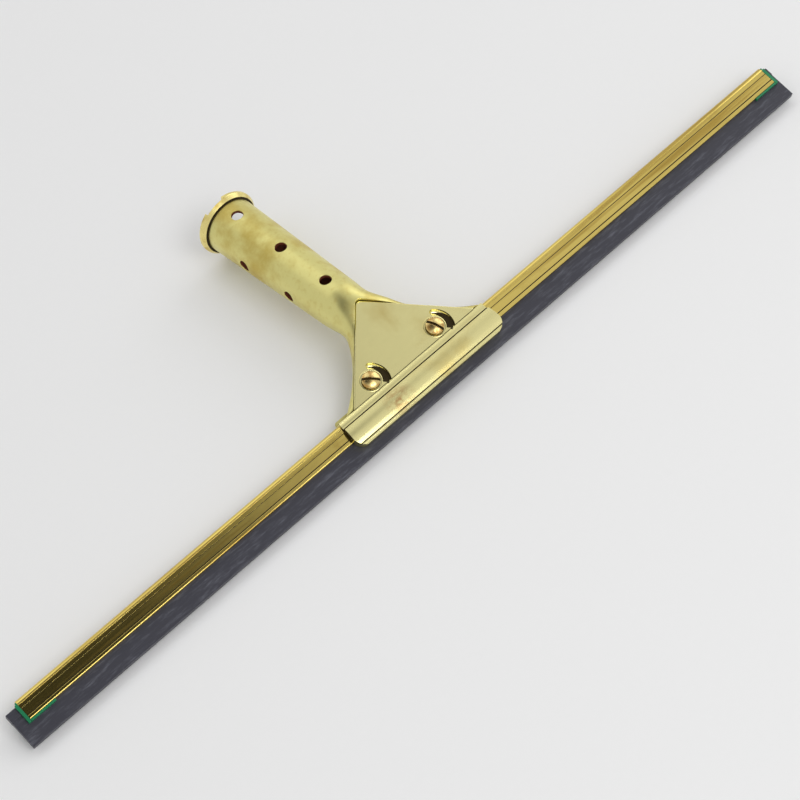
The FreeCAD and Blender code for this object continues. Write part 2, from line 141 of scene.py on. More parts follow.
class HandleSizes(bpy.types.PropertyGroup):
    """Tube, fan, rear jaw and end collar"""
    tilt: turn("Tilt", 21.0, "How far the tube leans back from the plane of the blade")
    tube_length: length("Tube length", 90.0, "From the tube's axis point in the fan to the collar")
    end_radius: length("End radius", 13.4, "Outer radius of the tube at the collar")
    neck_radius: length("Neck radius", 11.4, "Outer radius of the tube at the fan")
    wall: length("Wall", 1.7, "Wall of the tube")
    axis_drop: length("Axis drop", 8.0, "How far below the neck the tube's axis meets the blade's plane")
    axis_height: length("Axis height", 0.3, "Height of the axis at that point")
    round_above: length("Round above", 5.0, "How far above the neck the tube stops being round")
    fan_half: length("Fan half width", 40.5, "Half the width of the fan at the channel")
    fan_height: length("Fan height", 38.0, "Height of the fan above the channel")
    fan_shift: length("Fan shift", 2.2, "How far the middle of the fan and the plate lies to the right")
    shift_drop: length("Shift drop", 11.0, "How far below the neck the fan has reached that middle")
    seat_step: length("Seat step", 0.85, "How far the pocket's floor lies behind the jaw's face")
    drill_radius: length("Drill radius", 2.8, "Radius of the drilled holes")
    drill_start: length("Drill start", 8.6, "From the collar to the first hole")
    drill_end: length("Drill end", 7.1, "From the last hole to the end of the round tube")
    drill_count: count("Drill rows", 5, "Number of rows of holes")
    drill_round: length("Drill round", 0.4, "Rounding of the holes' rims")
    jaw_thickness: length("Rear jaw thickness", 3.0, "Thickness of the rear jaw")
    jaw_extra: length("Rear jaw extra", 1.5, "How much the rear jaw stands out beyond the fan")
    jaw_lip: length("Rear jaw lip", 1.8, "How far the rear jaw reaches below the channel")
    jaw_corner: length("Rear jaw corner", 5.0, "Rounding of the rear jaw's lower corners")
    jaw_round: length("Rear jaw round", 1.0, "Rounding of the rear jaw's back edges")
    rim_height: length("Collar rim height", 2.4, "How far the collar stands out from the tube")
    rim_length: length("Collar rim length", 4.2, "Length of the collar's rim")
    rim_round: length("Collar rim round", 0.8, "Rounding of the collar's rim")
    slope_height: length("Collar slope height", 1.5, "How much the collar's rim narrows towards the tube")
    slope_length: length("Collar slope length", 2.4, "Length of that slope")
    spigot_length: length("Spigot length", 4.5, "How far the collar goes into the tube")
    spigot_step: length("Spigot step", 0.3, "How much the tube is opened up for the collar")
    collar_wall: length("Collar wall", 1.6, "Wall of the collar's spigot")
    notch_angle: turn("Notch angle", 40.0, "Width of the two notches in the collar's rim")
    notch_turn: turn("Notch turn", 14.0, "Where the first notch stands")
    notch_depth: length("Notch depth", 2.0, "Depth of the notches")
    stake_turn: turn("Stake turn", 107.0, "Where the collar is staked")


class JawSizes(bpy.types.PropertyGroup):
    """Front jaw and screws"""
    plate_thickness: length("Plate thickness", 3.0, "Thickness of the field plate")
    plate_inset: length("Plate inset", 4.5, "From the fan's corner to the plate's corner")
    plate_height: length("Plate height", 36.0, "Height of the field plate")
    plate_round: length("Plate round", 2.5, "Rounding at the top of the plate")
    strip_thickness: length("Strip thickness", 1.15, "How far the strip stands out from the channel")
    strip_height: length("Strip height", 4.25, "Height of the hollow strip")
    strip_dip: length("Strip dip", 0.3, "Depth of the hollow along the strip")
    bar_thickness: length("Bar thickness", 2.75, "How far the bar stands out from the channel")
    bar_crown: length("Bar crown", 0.7, "Height of the bar's crown")
    bar_lip: length("Bar lip", 5.0, "How far the bar reaches below the channel")
    bar_shoulder: length("Bar shoulder", 1.7, "Height of the lip below the bar's shoulder")
    bar_top_extra: length("Bar top extra", 2.5, "How much the bar's top stands out beyond the fan")
    bar_extra: length("Bar extra", 4.0, "How much the bar's foot stands out beyond the fan")
    bar_corner: length("Bar corner", 5.0, "Rounding of the bar's lower corners")
    screw_spacing: length("Screw spacing", 38.7, "Distance between the two screws")
    screw_height: length("Screw height", 4.6, "From the channel's seat to the screws")
    screw_radius: length("Screw radius", 2.2, "Outer radius of the thread")
    screw_length: length("Screw length", 9.6, "Length of a screw below its head")
    thread_pitch: length("Thread pitch", 0.8, "Pitch of the thread")
    thread_depth: length("Thread depth", 0.4, "Depth of the thread")
    head_radius: length("Head radius", 4.2, "Radius of the screw's head")
    head_edge: length("Head edge", 1.1, "Height of the head's edge")
    head_dome: length("Head dome", 1.2, "Height of the head's dome")
    slot_width: length("Slot width", 1.2, "Width of the slot")
    slot_depth: length("Slot depth", 1.3, "Depth of the slot")
    left_slot: turn("Left slot", -42.0, "Where the left screw's slot stands")
    right_slot: turn("Right slot", -68.0, "Where the right screw's slot stands")
    land_margin: length("Land margin", 1.1, "How much a land is larger than the screw's head")
    land_height: length("Land height", 0.2, "How far a land stands out from the plate")
    crescent_width: length("Crescent width", 3.5, "Width of the curved pocket beside a land")
    crescent_depth: length("Crescent depth", 1.5, "Depth of that pocket")
    crescent_start: turn("Crescent start", -42.0, "Where the pocket opens to the strip")
    crescent_sweep: turn("Crescent sweep", 96.0, "How far round the land the pocket goes")


class FinishColours(bpy.types.PropertyGroup):
    """Colours of the materials"""
    cast_light: colour("Cast brass", (0.77, 0.71, 0.28), "Clean face of the cast handle")
    cast_dull: colour("Cast tarnish", (0.60, 0.47, 0.12), "Tarnished patches of the cast handle")
    turned_light: colour("Turned brass", (0.90, 0.77, 0.30), "Clean face of the collar")
    turned_dull: colour("Turned tarnish", (0.62, 0.46, 0.13), "Tarnish in the collar's corners")
    jaw_light: colour("Jaw brass", (0.93, 0.85, 0.40), "Polished face of the front jaw")
    jaw_dull: colour("Jaw tarnish", (0.74, 0.57, 0.18), "Duller patches of the front jaw")
    jaw_stain: colour("Jaw stain", (0.58, 0.34, 0.13), "Reddish stain on the clamp bar")
    screw_light: colour("Screw brass", (0.80, 0.64, 0.27), "Clean face of the screws")
    screw_dull: colour("Screw tarnish", (0.56, 0.33, 0.10), "Reddish tarnish of the screws")
    drawn_light: colour("Drawn brass", (0.80, 0.62, 0.17), "Clean face of the channel")
    drawn_dull: colour("Drawn tarnish", (0.50, 0.34, 0.075), "Tarnished streaks of the channel")
    # Colour of the grooves and corners: partly dirt, partly painted shade and painted dark reflection where the
    # light doesn't reach.
    seam: colour("Seams", (0.060, 0.042, 0.012), "Dirt and old polish in the grooves")
    inside: colour("Tube inside", (0.30, 0.075, 0.035), "Oxidised inside of the tube")
    rubber: colour("Rubber", (0.036, 0.036, 0.050), "Clean rubber")
    rubber_chalk: colour("Rubber chalk", (0.13, 0.135, 0.165), "Chalky wear on the rubber")
    plastic: colour("Clip plastic", (0.012, 0.27, 0.105), "Moulded plastic of the end clips")
    plastic_dark: colour("Clip shade", (0.006, 0.15, 0.06), "Deeper tone of the same plastic")
    floor: colour("Floor", (0.92, 0.92, 0.92), "The pale floor")


class StudioSettings(bpy.types.PropertyGroup):
    """Camera and light"""
    lens: FloatProperty(name="Lens", description="Focal length of the camera in millimetres", default=116.56)
    place: FloatVectorProperty(name="Camera place", description="Where the camera stands", size=3,
                               default=(-0.37822, -0.65378, 0.88851), subtype="TRANSLATION", unit="LENGTH")
    aim: FloatVectorProperty(name="Camera turn", description="How the camera is turned", size=3,
                             default=tuple(math.radians(a) for a in (37.409, 9.094, -43.316)),
                             subtype="EULER")
    world_light: amount("World light", 0.70, "Brightness of the surrounding light", 10.0)
    world_shade: amount("World shade", 0.04, "Brightness of the dark patch of the ceiling", 10.0)
    right_power: amount("Right power", 3.0, "Power of the light from the right in watts", 1000.0)
    back_power: amount("Back power", 1.3, "Power of the light from behind in watts", 1000.0)
    front_power: amount("Front power", 4.5, "Power of the light from the front in watts", 1000.0)


def in_millimetres(group):
    """The values of a property group: lengths in millimetres, angles in radians and counts as they are."""
    values = {}
    for prop in group.bl_rna.properties:
        if prop.identifier in {"rna_type", "name"}:
            continue
        value = getattr(group, prop.identifier)
        values[prop.identifier] = round(value / MM, 4) if prop.unit == "LENGTH" else value
    return SimpleNamespace(**values)


def sizes():
    """All sizes in millimetres, with the levels and faces that follow from them."""
    settings = bpy.context.scene
    s = SimpleNamespace()
    for group in (settings.squeegee_blade, settings.squeegee_handle, settings.squeegee_jaw):
        s.__dict__.update(in_millimetres(group).__dict__)
    clearance = s.clearance = CLEARANCES
    s.half_rubber = s.rubber_thickness / 2
    s.slot_half = s.half_rubber + clearance.rubber
    s.cavity_half = s.bead_width / 2 + clearance.rubber
    s.half_channel = s.cavity_half + s.channel_wall + s.face_recess
    s.channel_bottom = s.rubber_reach
    s.channel_top = s.channel_bottom + s.channel_height
    s.rubber_height = s.channel_top - s.channel_wall - s.bead_gap
    s.seat = s.channel_top + clearance.top
    s.jaw_face = s.half_channel + clearance.seat
    s.pocket_floor = s.jaw_face - s.seat_step
    s.fan_half_thickness = s.pocket_floor + s.plate_thickness
    s.neck = s.seat + s.fan_height
    s.plate_back = s.pocket_floor + clearance.clamp
    s.plate_front = s.plate_back + s.plate_thickness
    s.plate_half = s.fan_half - s.plate_inset
    s.plate_top = s.seat + s.plate_height
    s.strip_top = s.seat - clearance.pocket
    s.strip_front = s.jaw_face + s.strip_thickness
    s.bar_top = s.strip_top - s.strip_height
    s.bar_front = s.jaw_face + s.bar_thickness
    s.bar_bottom = s.channel_bottom - s.bar_lip
    s.screw_level = s.seat + s.screw_height
    s.land_radius = s.head_radius + s.land_margin
    s.axis_point = Vector((0, s.neck - s.axis_drop, s.axis_height))
    s.tube_out = Vector((0, math.cos(s.tilt), -math.sin(s.tilt)))
    s.tube_up = Vector((0, math.sin(s.tilt), math.cos(s.tilt)))
    s.collar_face = s.axis_point + s.tube_out * s.tube_length
    s.round_length = s.tube_length - (s.axis_drop + s.round_above) / math.cos(s.tilt)
    s.spigot_radius = s.end_radius - s.wall + s.spigot_step
    s.pole_radius = s.spigot_radius - s.collar_wall
    return s


def tube_radius(s, from_collar):
    """Outer radius of the tapered tube at a distance from the collar."""
    return s.end_radius + (s.neck_radius - s.end_radius) * from_collar / s.tube_length


def blade_place(s):
    """Matrix that stands the blade's plane, in millimetres, in the frame."""
    front = Vector(JOINTS["jaw_release"]["axis"]).normalized()
    along = Vector((1, 0, 0))
    reach = front.cross(along)
    screws = [Vector(JOINTS[name]["pos_m"]) for name in ("left_screw_turn", "right_screw_turn")]
    middle = (screws[0] + screws[1]) / 2
    origin = middle - reach * s.screw_level * MM - front * s.plate_front * MM
    turned = Matrix((along, reach, front)).transposed().to_4x4()
    return Matrix.Translation(origin) @ turned @ Matrix.Scale(MM, 4)


# ---------------------------------------------------------------- modelling by hand

def activate(piece):
    """Makes one piece the only selected one."""
    if bpy.context.mode != "OBJECT":
        bpy.ops.object.mode_set(mode="OBJECT")
    bpy.ops.object.select_all(action="DESELECT")
    if piece is not None:
        piece.select_set(True)
        bpy.context.view_layer.objects.active = piece


def edit(piece, kind, chosen):
    """Opens a piece in edit mode with the vertices, edges or faces selected for which chosen is true."""
    activate(piece)
    bpy.ops.object.mode_set(mode="EDIT")
    bpy.ops.mesh.select_mode(type=kind)
    bpy.ops.mesh.select_all(action="DESELECT")
    mesh = bmesh.from_edit_mesh(piece.data)
    found = 0
    for item in {"VERT": mesh.verts, "EDGE": mesh.edges, "FACE": mesh.faces}[kind]:
        if chosen(item):
            item.select_set(True)
            found += 1
    mesh.select_flush_mode()
    bmesh.update_edit_mesh(piece.data)
    return found


def every(item):
    """Chooses everything."""
    return True


def close_edit(piece):
    """Turns all faces outwards and leaves edit mode."""
    bpy.ops.mesh.select_all(action="SELECT")
    bpy.ops.mesh.normals_make_consistent(inside=False)
    bpy.ops.object.mode_set(mode="OBJECT")
    return piece


def outline(name, points, filled=True):
    """A flat outline through the points, from a circle whose vertices are moved to them."""
    activate(None)
    bpy.ops.mesh.primitive_circle_add(vertices=len(points), fill_type="NGON" if filled else "NOTHING")
    piece = bpy.context.object
    piece.name = name
    for vertex, point in zip(piece.data.vertices, points):
        vertex.co = point
    return piece


def draw_out(piece, way):
    """Draws a flat outline out into a closed solid."""
    edit(piece, "FACE", every)
    bpy.ops.mesh.extrude_region_move(TRANSFORM_OT_translate={"value": way})
    return close_edit(piece)


def bar(name, section, x0, x1):
    """A section of (y, z) points drawn out along the blade."""
    piece = outline(name, [Vector((x0, y, z)) for y, z in section])
    return draw_out(piece, (x1 - x0, 0, 0))


def prism(name, shape, z0, z1):
    """A shape of (x, y) points drawn out towards the front."""
    piece = outline(name, [Vector((x, y, z0)) for x, y in shape])
    return draw_out(piece, (0, 0, z1 - z0))


def block(name, x0, x1, y0, y1, z0, z1):
    """A cube stretched between two corners."""
    activate(None)
    low = Vector((x0, y0, z0))
    high = Vector((x1, y1, z1))
    bpy.ops.mesh.primitive_cube_add(size=1, location=(low + high) / 2, scale=high - low)
    piece = bpy.context.object
    piece.name = name
    bpy.ops.object.transform_apply(location=True, rotation=True, scale=True)
    return piece


def rod(name, radius, start, way, reach, sides=64, end_radius=None):
    """A cylinder or cone from a start point."""
    activate(None)
    way = way.normalized()
    end = radius if end_radius is None else end_radius
    bpy.ops.mesh.primitive_cone_add(vertices=sides, radius1=radius, radius2=end, depth=reach,
                                    location=start + way * (reach / 2),
                                    rotation=way.to_track_quat("Z", "Y").to_euler())
    piece = bpy.context.object
    piece.name = name
    bpy.ops.object.transform_apply(location=True, rotation=True, scale=True)
    return piece


def skin(name, rings):
    """A closed skin through rings of points, from a grid that is rolled into a tube and capped."""
    activate(None)
    sides = len(rings[0])
    bpy.ops.mesh.primitive_grid_add(x_subdivisions=sides, y_subdivisions=len(rings) - 1)
    piece = bpy.context.object
    piece.name = name
    points = [ring[step % sides] for ring in rings for step in range(sides + 1)]
    for vertex, point in zip(piece.data.vertices, points):
        vertex.co = point
    edit(piece, "VERT", every)
    bpy.ops.mesh.remove_doubles(threshold=MERGE)
    bpy.ops.mesh.fill_holes(sides=0)
    return close_edit(piece)


def turned(name, section, base, way, steps=96, sweep=2 * math.pi):
    """A closed section of (radius, height) points spun round an axis."""
    full = sweep > 2 * math.pi - 0.001
    piece = outline(name, [Vector((radius, 0, height)) for radius, height in section], filled=not full)
    edit(piece, "VERT", every)
    bpy.ops.mesh.spin(steps=steps, angle=sweep, center=(0, 0, 0), axis=(0, 0, 1))
    bpy.ops.mesh.select_all(action="SELECT")
    bpy.ops.mesh.remove_doubles(threshold=MERGE)
    close_edit(piece)
    activate(piece)
    piece.matrix_world = Matrix.Translation(base) @ way.to_track_quat("Z", "Y").to_matrix().to_4x4()
    bpy.ops.object.transform_apply(location=True, rotation=True, scale=True)
    return piece


def combine(piece, tool, operation):
    """Joins, cuts or keeps what is common, with a boolean modifier that is applied."""
    activate(piece)
    modifier = piece.modifiers.new(operation.lower(), "BOOLEAN")
    modifier.operation = operation
    modifier.solver = "EXACT"
    modifier.object = tool
    bpy.ops.object.modifier_apply(modifier=modifier.name)
    bpy.data.objects.remove(tool)
    if not piece.data.polygons:
        raise RuntimeError(piece.name + " came to nothing")
    return piece


def cut(piece, tool):
    """Cuts a tool out of a piece."""
    return combine(piece, tool, "DIFFERENCE")


def join(piece, tool):
    """Makes one closed solid of two."""
    return combine(piece, tool, "UNION")


def round_edges(piece, width, steps, degrees, where):
    """Rounds the edges that are sharper than an angle and whose middle is where they are wanted."""
    def chosen(edge):
        sharp = len(edge.link_faces) == 2 and edge.calc_face_angle(0) > math.radians(degrees)
        return sharp and where((edge.verts[0].co + edge.verts[1].co) / 2)

    if not edit(piece, "EDGE", chosen):
        raise RuntimeError(piece.name + " has no such edges to round")
    bpy.ops.mesh.bevel(offset=width, segments=steps, affect="EDGES", clamp_overlap=True)
    return close_edit(piece)


def ease_edges(piece, width, steps, degrees=35):
    """Breaks every sharp edge of a square-edged piece with a bevel modifier."""
    activate(piece)
    modifier = piece.modifiers.new("ease", "BEVEL")
    modifier.width = width
    modifier.segments = steps
    modifier.limit_method = "ANGLE"
    modifier.angle_limit = math.radians(degrees)
    bpy.ops.object.modifier_apply(modifier=modifier.name)
    return piece


def settle(piece, name, materials, body, nodes):
    """Stands a piece in the frame, smooths it, and puts it on its body in the place of its nodes."""
    piece.name = name
    piece.data.name = name
    activate(piece)
    piece.matrix_world = blade_place(sizes())
    bpy.ops.object.transform_apply(location=True, rotation=True, scale=True)
    bpy.ops.object.shade_smooth_by_angle(angle=SMOOTH_BELOW)
    modifier = piece.modifiers.new("even", "WEIGHTED_NORMAL")
    modifier.keep_sharp = True
    bpy.ops.object.modifier_apply(modifier=modifier.name)
    indices = [polygon.material_index for polygon in piece.data.polygons]
    piece.data.materials.clear()
    for material in materials:
        piece.data.materials.append(material)
    last = len(materials) - 1
    for polygon, index in zip(piece.data.polygons, indices):
        polygon.material_index = min(index, last)
    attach(piece, body)
    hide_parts(*nodes)
    return piece


# ---------------------------------------------------------------- outlines

def fillet(corners, steps=5):
    """Points of a closed outline whose corners (u, v, radius) are rounded by arcs."""
    points = []
    for index, (u, v, radius) in enumerate(corners):
        here = Vector((u, v))
        if radius == 0:
            points.append((u, v))
            continue
        before = (Vector(corners[index - 1][:2]) - here).normalized()
        after = (Vector(corners[(index + 1) % len(corners)][:2]) - here).normalized()
        half = before.angle(after) / 2
        centre = here + (before + after).normalized() * radius / math.sin(half)
        start = here + before * radius / math.tan(half) - centre
        end = here + after * radius / math.tan(half) - centre
        first = math.atan2(start.y, start.x)
        sweep = math.atan2(start.x * end.y - start.y * end.x, start.dot(end))
        for step in range(steps + 1):
            angle = first + sweep * step / steps
            points.append((centre.x + radius * math.cos(angle), centre.y + radius * math.sin(angle)))
    return points


def crown(start, end, rise, steps):
    """Points of a shallow arc between two points, its middle moved to the left by rise, without its ends."""
    a = Vector(start)
    b = Vector(end)
    side = Vector((-(b - a).y, (b - a).x)).normalized()
    points = []
    for step in range(1, steps):
        share = step / steps
        point = a.lerp(b, share) + side * rise * 4 * share * (1 - share)
        points.append((point.x, point.y))
    return points


def plain(points):
    """Points as corners that aren't rounded."""
    return [(u, v, 0) for u, v in points]


def plate_outline(s, grow):
    """Outline of the field plate: straight sides up to a rounded top, grown by a clearance."""
    centre = s.plate_top - s.plate_round
    reach = math.hypot(s.plate_half, centre - s.seat)
    lean = math.atan2(s.plate_half, centre - s.seat)
    side = lean + math.acos(s.plate_round / reach) - math.pi / 2
    foot = (s.plate_half + grow * math.cos(side), s.seat + grow * math.sin(side))
    right = [(foot[0], s.seat - 1.0), foot]
    shift = s.fan_shift
    radius = s.plate_round + grow
    steps = 16
    top = []
    for step in range(steps + 1):
        angle = side + (math.pi - 2 * side) * step / steps
        top.append((radius * math.cos(angle), centre + radius * math.sin(angle)))
    left = [(-x, y) for x, y in reversed(right)]
    return [(x + shift, y) for x, y in right + top + left]


def squared_loop(half_width, half_height, power, sides):
    """Evenly spaced points of a loop between an ellipse (power 2) and a rounded box (higher powers)."""
    fine = 160
    quarter = []
    for step in range(fine + 1):
        angle = math.pi / 2 * step / fine
        quarter.append(Vector((half_width * math.cos(angle) ** (2 / power) if step < fine else 0.0,
                               half_height * math.sin(angle) ** (2 / power))))
    lengths = [0.0]
    for a, b in zip(quarter, quarter[1:]):
        lengths.append(lengths[-1] + (b - a).length)
    each = sides // 4
    points = []
    index = 0
    for step in range(each):
        want = lengths[-1] * step / each
        while lengths[index + 1] < want:
            index += 1
        share = (want - lengths[index]) / (lengths[index + 1] - lengths[index])
        points.append(quarter[index].lerp(quarter[index + 1], share))
    corner = quarter[-1]
    loop = [(p.x, p.y) for p in points]
    loop += [(-p.x, p.y) for p in [corner] + points[:0:-1]]
    loop += [(-p.x, -p.y) for p in points]
    loop += [(p.x, -p.y) for p in [corner] + points[:0:-1]]
    return loop


# ---------------------------------------------------------------- materials

class Recipe:
    """A material whose nodes are added one by one."""

    def __init__(self, name):
        self.material = bpy.data.materials.new(name)
        self.material.use_nodes = True
        self.nodes = self.material.node_tree.nodes
        self.links = self.material.node_tree.links
        self.shader = self.nodes["Principled BSDF"]
        self.place = self.add("ShaderNodeTexCoord").outputs["Object"]

    def add(self, kind, **settings):
        """A node with its settings."""
        node = self.nodes.new(kind)
        for name, value in settings.items():
            setattr(node, name, value)
        return node

    def stretched(self, scale):
        """Coordinates squared to the blade and stretched, so that a pattern runs along it."""
        mapping = self.add("ShaderNodeMapping")
        front = Vector(JOINTS["jaw_release"]["axis"])
        mapping.inputs["Rotation"].default_value = (math.atan2(front.y, front.z), 0, 0)
        mapping.inputs["Scale"].default_value = scale
        self.links.new(self.place, mapping.inputs["Vector"])
        return mapping.outputs["Vector"]

    def noise(self, scale, detail, roughness, stretch=None, distortion=0.0):
        """Noise on the piece, stretched where wanted."""
        node = self.add("ShaderNodeTexNoise")
        node.inputs["Scale"].default_value = scale
        node.inputs["Detail"].default_value = detail
        node.inputs["Roughness"].default_value = roughness
        node.inputs["Distortion"].default_value = distortion
        self.links.new(self.stretched(stretch) if stretch else self.place, node.inputs["Vector"])
        return node.outputs["Fac"]

    def ramp(self, source, low, high):
        """A smooth step from black below one value to white above another."""
        node = self.add("ShaderNodeValToRGB")
        node.color_ramp.interpolation = "EASE"
        node.color_ramp.elements[0].position = low
        node.color_ramp.elements[1].position = high
        node.color_ramp.elements[0].color = (0, 0, 0, 1)
        node.color_ramp.elements[1].color = (1, 1, 1, 1)
        self.links.new(source, node.inputs["Fac"])
        return node.outputs["Color"]

    def mix(self, share, first, second):
        """A mix of two colours, each a colour or a link, by a linked share."""
        node = self.add("ShaderNodeMix", data_type="RGBA")
        self.links.new(share, node.inputs["Factor"])
        for socket, value in (("A", first), ("B", second)):
            target = [i for i in node.inputs if i.name == socket and i.type == "RGBA"][0]
            if isinstance(value, bpy.types.NodeSocket):
                self.links.new(value, target)
            else:
                target.default_value = (*value, 1)
        return [o for o in node.outputs if o.type == "RGBA"][0]

    def maths(self, operation, first, second):
        """Two values put together."""
        node = self.add("ShaderNodeMath", operation=operation)
        for socket, value in zip(node.inputs, (first, second)):
            if isinstance(value, bpy.types.NodeSocket):
                self.links.new(value, socket)
            else:
                socket.default_value = value
        return node.outputs["Value"]

    def between(self, source, low, high, first=0.0, last=1.0):
        """A value from one range spread over another."""
        node = self.add("ShaderNodeMapRange")
        node.inputs["From Min"].default_value = first
        node.inputs["From Max"].default_value = last
        node.inputs["To Min"].default_value = low
        node.inputs["To Max"].default_value = high
        self.links.new(source, node.inputs["Value"])
        return node.outputs["Result"]

    def spot(self, point, radius):
        """One at a point of the piece, and nothing from a radius on."""
        node = self.add("ShaderNodeVectorMath", operation="DISTANCE")
        self.links.new(self.place, node.inputs[0])
        node.inputs[1].default_value = point
        return self.between(node.outputs["Value"], 1.0, 0.0, 0.0, radius)

    def bump(self, height, strength, distance, below=None):
        """Relief of a given depth in metres, over another relief if there is one."""
        node = self.add("ShaderNodeBump")
        node.inputs["Strength"].default_value = strength
        node.inputs["Distance"].default_value = distance
        self.links.new(height, node.inputs["Height"])
        if below is not None:
            self.links.new(below, node.inputs["Normal"])
        return node.outputs["Normal"]

    def finish(self, colour, roughness, normal, metallic):
        """Joins the patterns to the shader, and sets how metallic it is on its own socket."""
        self.links.new(colour, self.shader.inputs["Base Color"])
        self.links.new(roughness, self.shader.inputs["Roughness"])
        self.links.new(normal, self.shader.inputs["Normal"])
        self.shader.inputs["Metallic"].default_value = metallic
        return self.material


def darker(tone, share):
    """A share of a colour."""
    return tuple(channel * share for channel in tone)


def seam_brass(colours):
    """Dirt and old polish left in the corners and grooves, with painted shade and painted dark reflection where
    the light doesn't reach.
    """
    recipe = Recipe("seam_brass")
    dirt = recipe.noise(600, 4, 0.6)
    tone = recipe.mix(dirt, darker(colours.seam, 0.4), colours.seam)
    relief = recipe.bump(dirt, 0.4, 0.00005)
    return recipe.finish(tone, recipe.between(dirt, 0.40, 0.62), relief, 0.75)


def cast_brass(colours):
    """Cast and brushed brass with cloudy tarnish, as on the handle."""
    recipe = Recipe("cast_brass")
    clouds = recipe.ramp(recipe.noise(50, 6, 0.62), 0.40, 0.72)
    specks = recipe.ramp(recipe.noise(420, 3, 0.6), 0.50, 0.75)
    brushing = recipe.noise(900, 3, 0.6, stretch=(1.0, 0.12, 0.6))
    tone = recipe.mix(clouds, colours.cast_light, colours.cast_dull)
    tone = recipe.mix(recipe.maths("MULTIPLY", specks, 0.35), tone, colours.cast_dull)
    rough = recipe.maths("ADD", recipe.between(clouds, 0.36, 0.46), recipe.between(brushing, -0.05, 0.07))
    relief = recipe.bump(recipe.noise(230, 4, 0.6), 0.35, 0.00012)
    relief = recipe.bump(brushing, 0.16, 0.00004, relief)
    return recipe.finish(tone, rough, relief, 1.0)


def tube_inside(colours):
    """Oxidised inside of the tube."""
    recipe = Recipe("tube_inside")
    scale = recipe.noise(320, 5, 0.65)
    tone = recipe.mix(scale, darker(colours.inside, 0.45), colours.inside)
    relief = recipe.bump(scale, 0.6, 0.0002)
    return recipe.finish(tone, recipe.between(scale, 0.55, 0.85), relief, 0.35)


def turned_brass(colours):
    """Brass with fine turning marks, as on the collar."""
    recipe = Recipe("turned_brass")
    clouds = recipe.ramp(recipe.noise(150, 4, 0.6), 0.48, 0.72)
    marks = recipe.noise(2600, 2, 0.5, stretch=(0.10, 1.0, 0.10))
    tone = recipe.mix(clouds, colours.turned_light, colours.turned_dull)
    rough = recipe.maths("ADD", recipe.between(clouds, 0.26, 0.40), recipe.between(marks, -0.05, 0.06))
    relief = recipe.bump(marks, 0.18, 0.00003)
    return recipe.finish(tone, rough, relief, 1.0)


def jaw_brass(colours):
    """Polished brass with soft dull patches, wiping marks and one reddish stain, as on the front jaw."""
    recipe = Recipe("jaw_brass")
    patches = recipe.ramp(recipe.noise(42, 4, 0.5, distortion=0.2), 0.52, 0.86)
    marks = recipe.noise(1500, 3, 0.55, stretch=(0.08, 1.0, 1.0))
    tone = recipe.mix(patches, colours.jaw_light, colours.jaw_dull)
    s = sizes()
    stain_place = blade_place(s) @ Vector((-0.4 * s.fan_half, (s.bar_bottom + s.bar_top) / 2, s.bar_front))
    stain = recipe.ramp(recipe.noise(330, 5, 0.7, stretch=(0.6, 1.0, 1.0)), 0.40, 0.62)
    stain = recipe.maths("MULTIPLY", stain, recipe.spot(stain_place, 0.009))
    tone = recipe.mix(stain, tone, colours.jaw_stain)
    rough = recipe.maths("ADD", recipe.between(patches, 0.16, 0.26), recipe.between(marks, -0.03, 0.05))
    relief = recipe.bump(recipe.noise(120, 3, 0.5), 0.16, 0.00010)
    relief = recipe.bump(marks, 0.10, 0.00002, relief)
    return recipe.finish(tone, rough, relief, 1.0)


def screw_brass(colours):
    """Machined brass that has gone a little red."""
    recipe = Recipe("screw_brass")
    clouds = recipe.ramp(recipe.noise(420, 4, 0.6), 0.40, 0.66)
    tone = recipe.mix(clouds, colours.screw_light, colours.screw_dull)
    relief = recipe.bump(recipe.noise(1400, 3, 0.6), 0.25, 0.00003)
    return recipe.finish(tone, recipe.between(clouds, 0.22, 0.36), relief, 1.0)


def drawn_brass(colours):
    """Bright drawn brass with long die lines and streaks of tarnish, as on the channel."""
    recipe = Recipe("drawn_brass")
    streaks = recipe.ramp(recipe.noise(300, 4, 0.6, stretch=(0.03, 1.0, 1.0)), 0.46, 0.72)
    blots = recipe.ramp(recipe.noise(48, 5, 0.6, distortion=0.5), 0.55, 0.76)
    lines = recipe.noise(2400, 3, 0.6, stretch=(0.012, 1.0, 1.0))
    tone = recipe.mix(streaks, colours.drawn_light, colours.drawn_dull)
    tone = recipe.mix(recipe.maths("MULTIPLY", blots, 0.5), tone, colours.drawn_dull)
    rough = recipe.maths("ADD", recipe.between(streaks, 0.10, 0.20), recipe.between(lines, -0.03, 0.04))
    relief = recipe.bump(recipe.noise(26, 3, 0.5, stretch=(1.0, 2.0, 2.0)), 0.25, 0.0003)
    relief = recipe.bump(lines, 0.14, 0.00003, relief)
    return recipe.finish(tone, rough, relief, 1.0)


def blade_rubber(colours):
    """Dark rubber with fine chalky streaks along it and small scuffs."""
    recipe = Recipe("blade_rubber")
    streaks = recipe.ramp(recipe.noise(640, 6, 0.72, stretch=(0.14, 1.0, 1.0)), 0.46, 0.82)
    scuffs = recipe.ramp(recipe.noise(240, 8, 0.8, distortion=0.3), 0.60, 0.80)
    grain = recipe.noise(2200, 3, 0.6)
    wear = recipe.maths("MAXIMUM", streaks, recipe.maths("MULTIPLY", scuffs, 0.7))
    tone = recipe.mix(wear, colours.rubber, colours.rubber_chalk)
    rough = recipe.maths("ADD", recipe.between(wear, 0.46, 0.66), recipe.between(grain, -0.05, 0.05))
    relief = recipe.bump(grain, 0.30, 0.00004)
    return recipe.finish(tone, rough, relief, 0.0)


def clip_plastic(colours):
    """Moulded plastic with a slight orange peel."""
    recipe = Recipe("clip_plastic")
    tint = recipe.noise(160, 3, 0.5)
    tone = recipe.mix(tint, colours.plastic_dark, colours.plastic)
    relief = recipe.bump(recipe.noise(1100, 3, 0.5), 0.25, 0.00004)
    return recipe.finish(tone, recipe.between(tint, 0.28, 0.42), relief, 0.0)


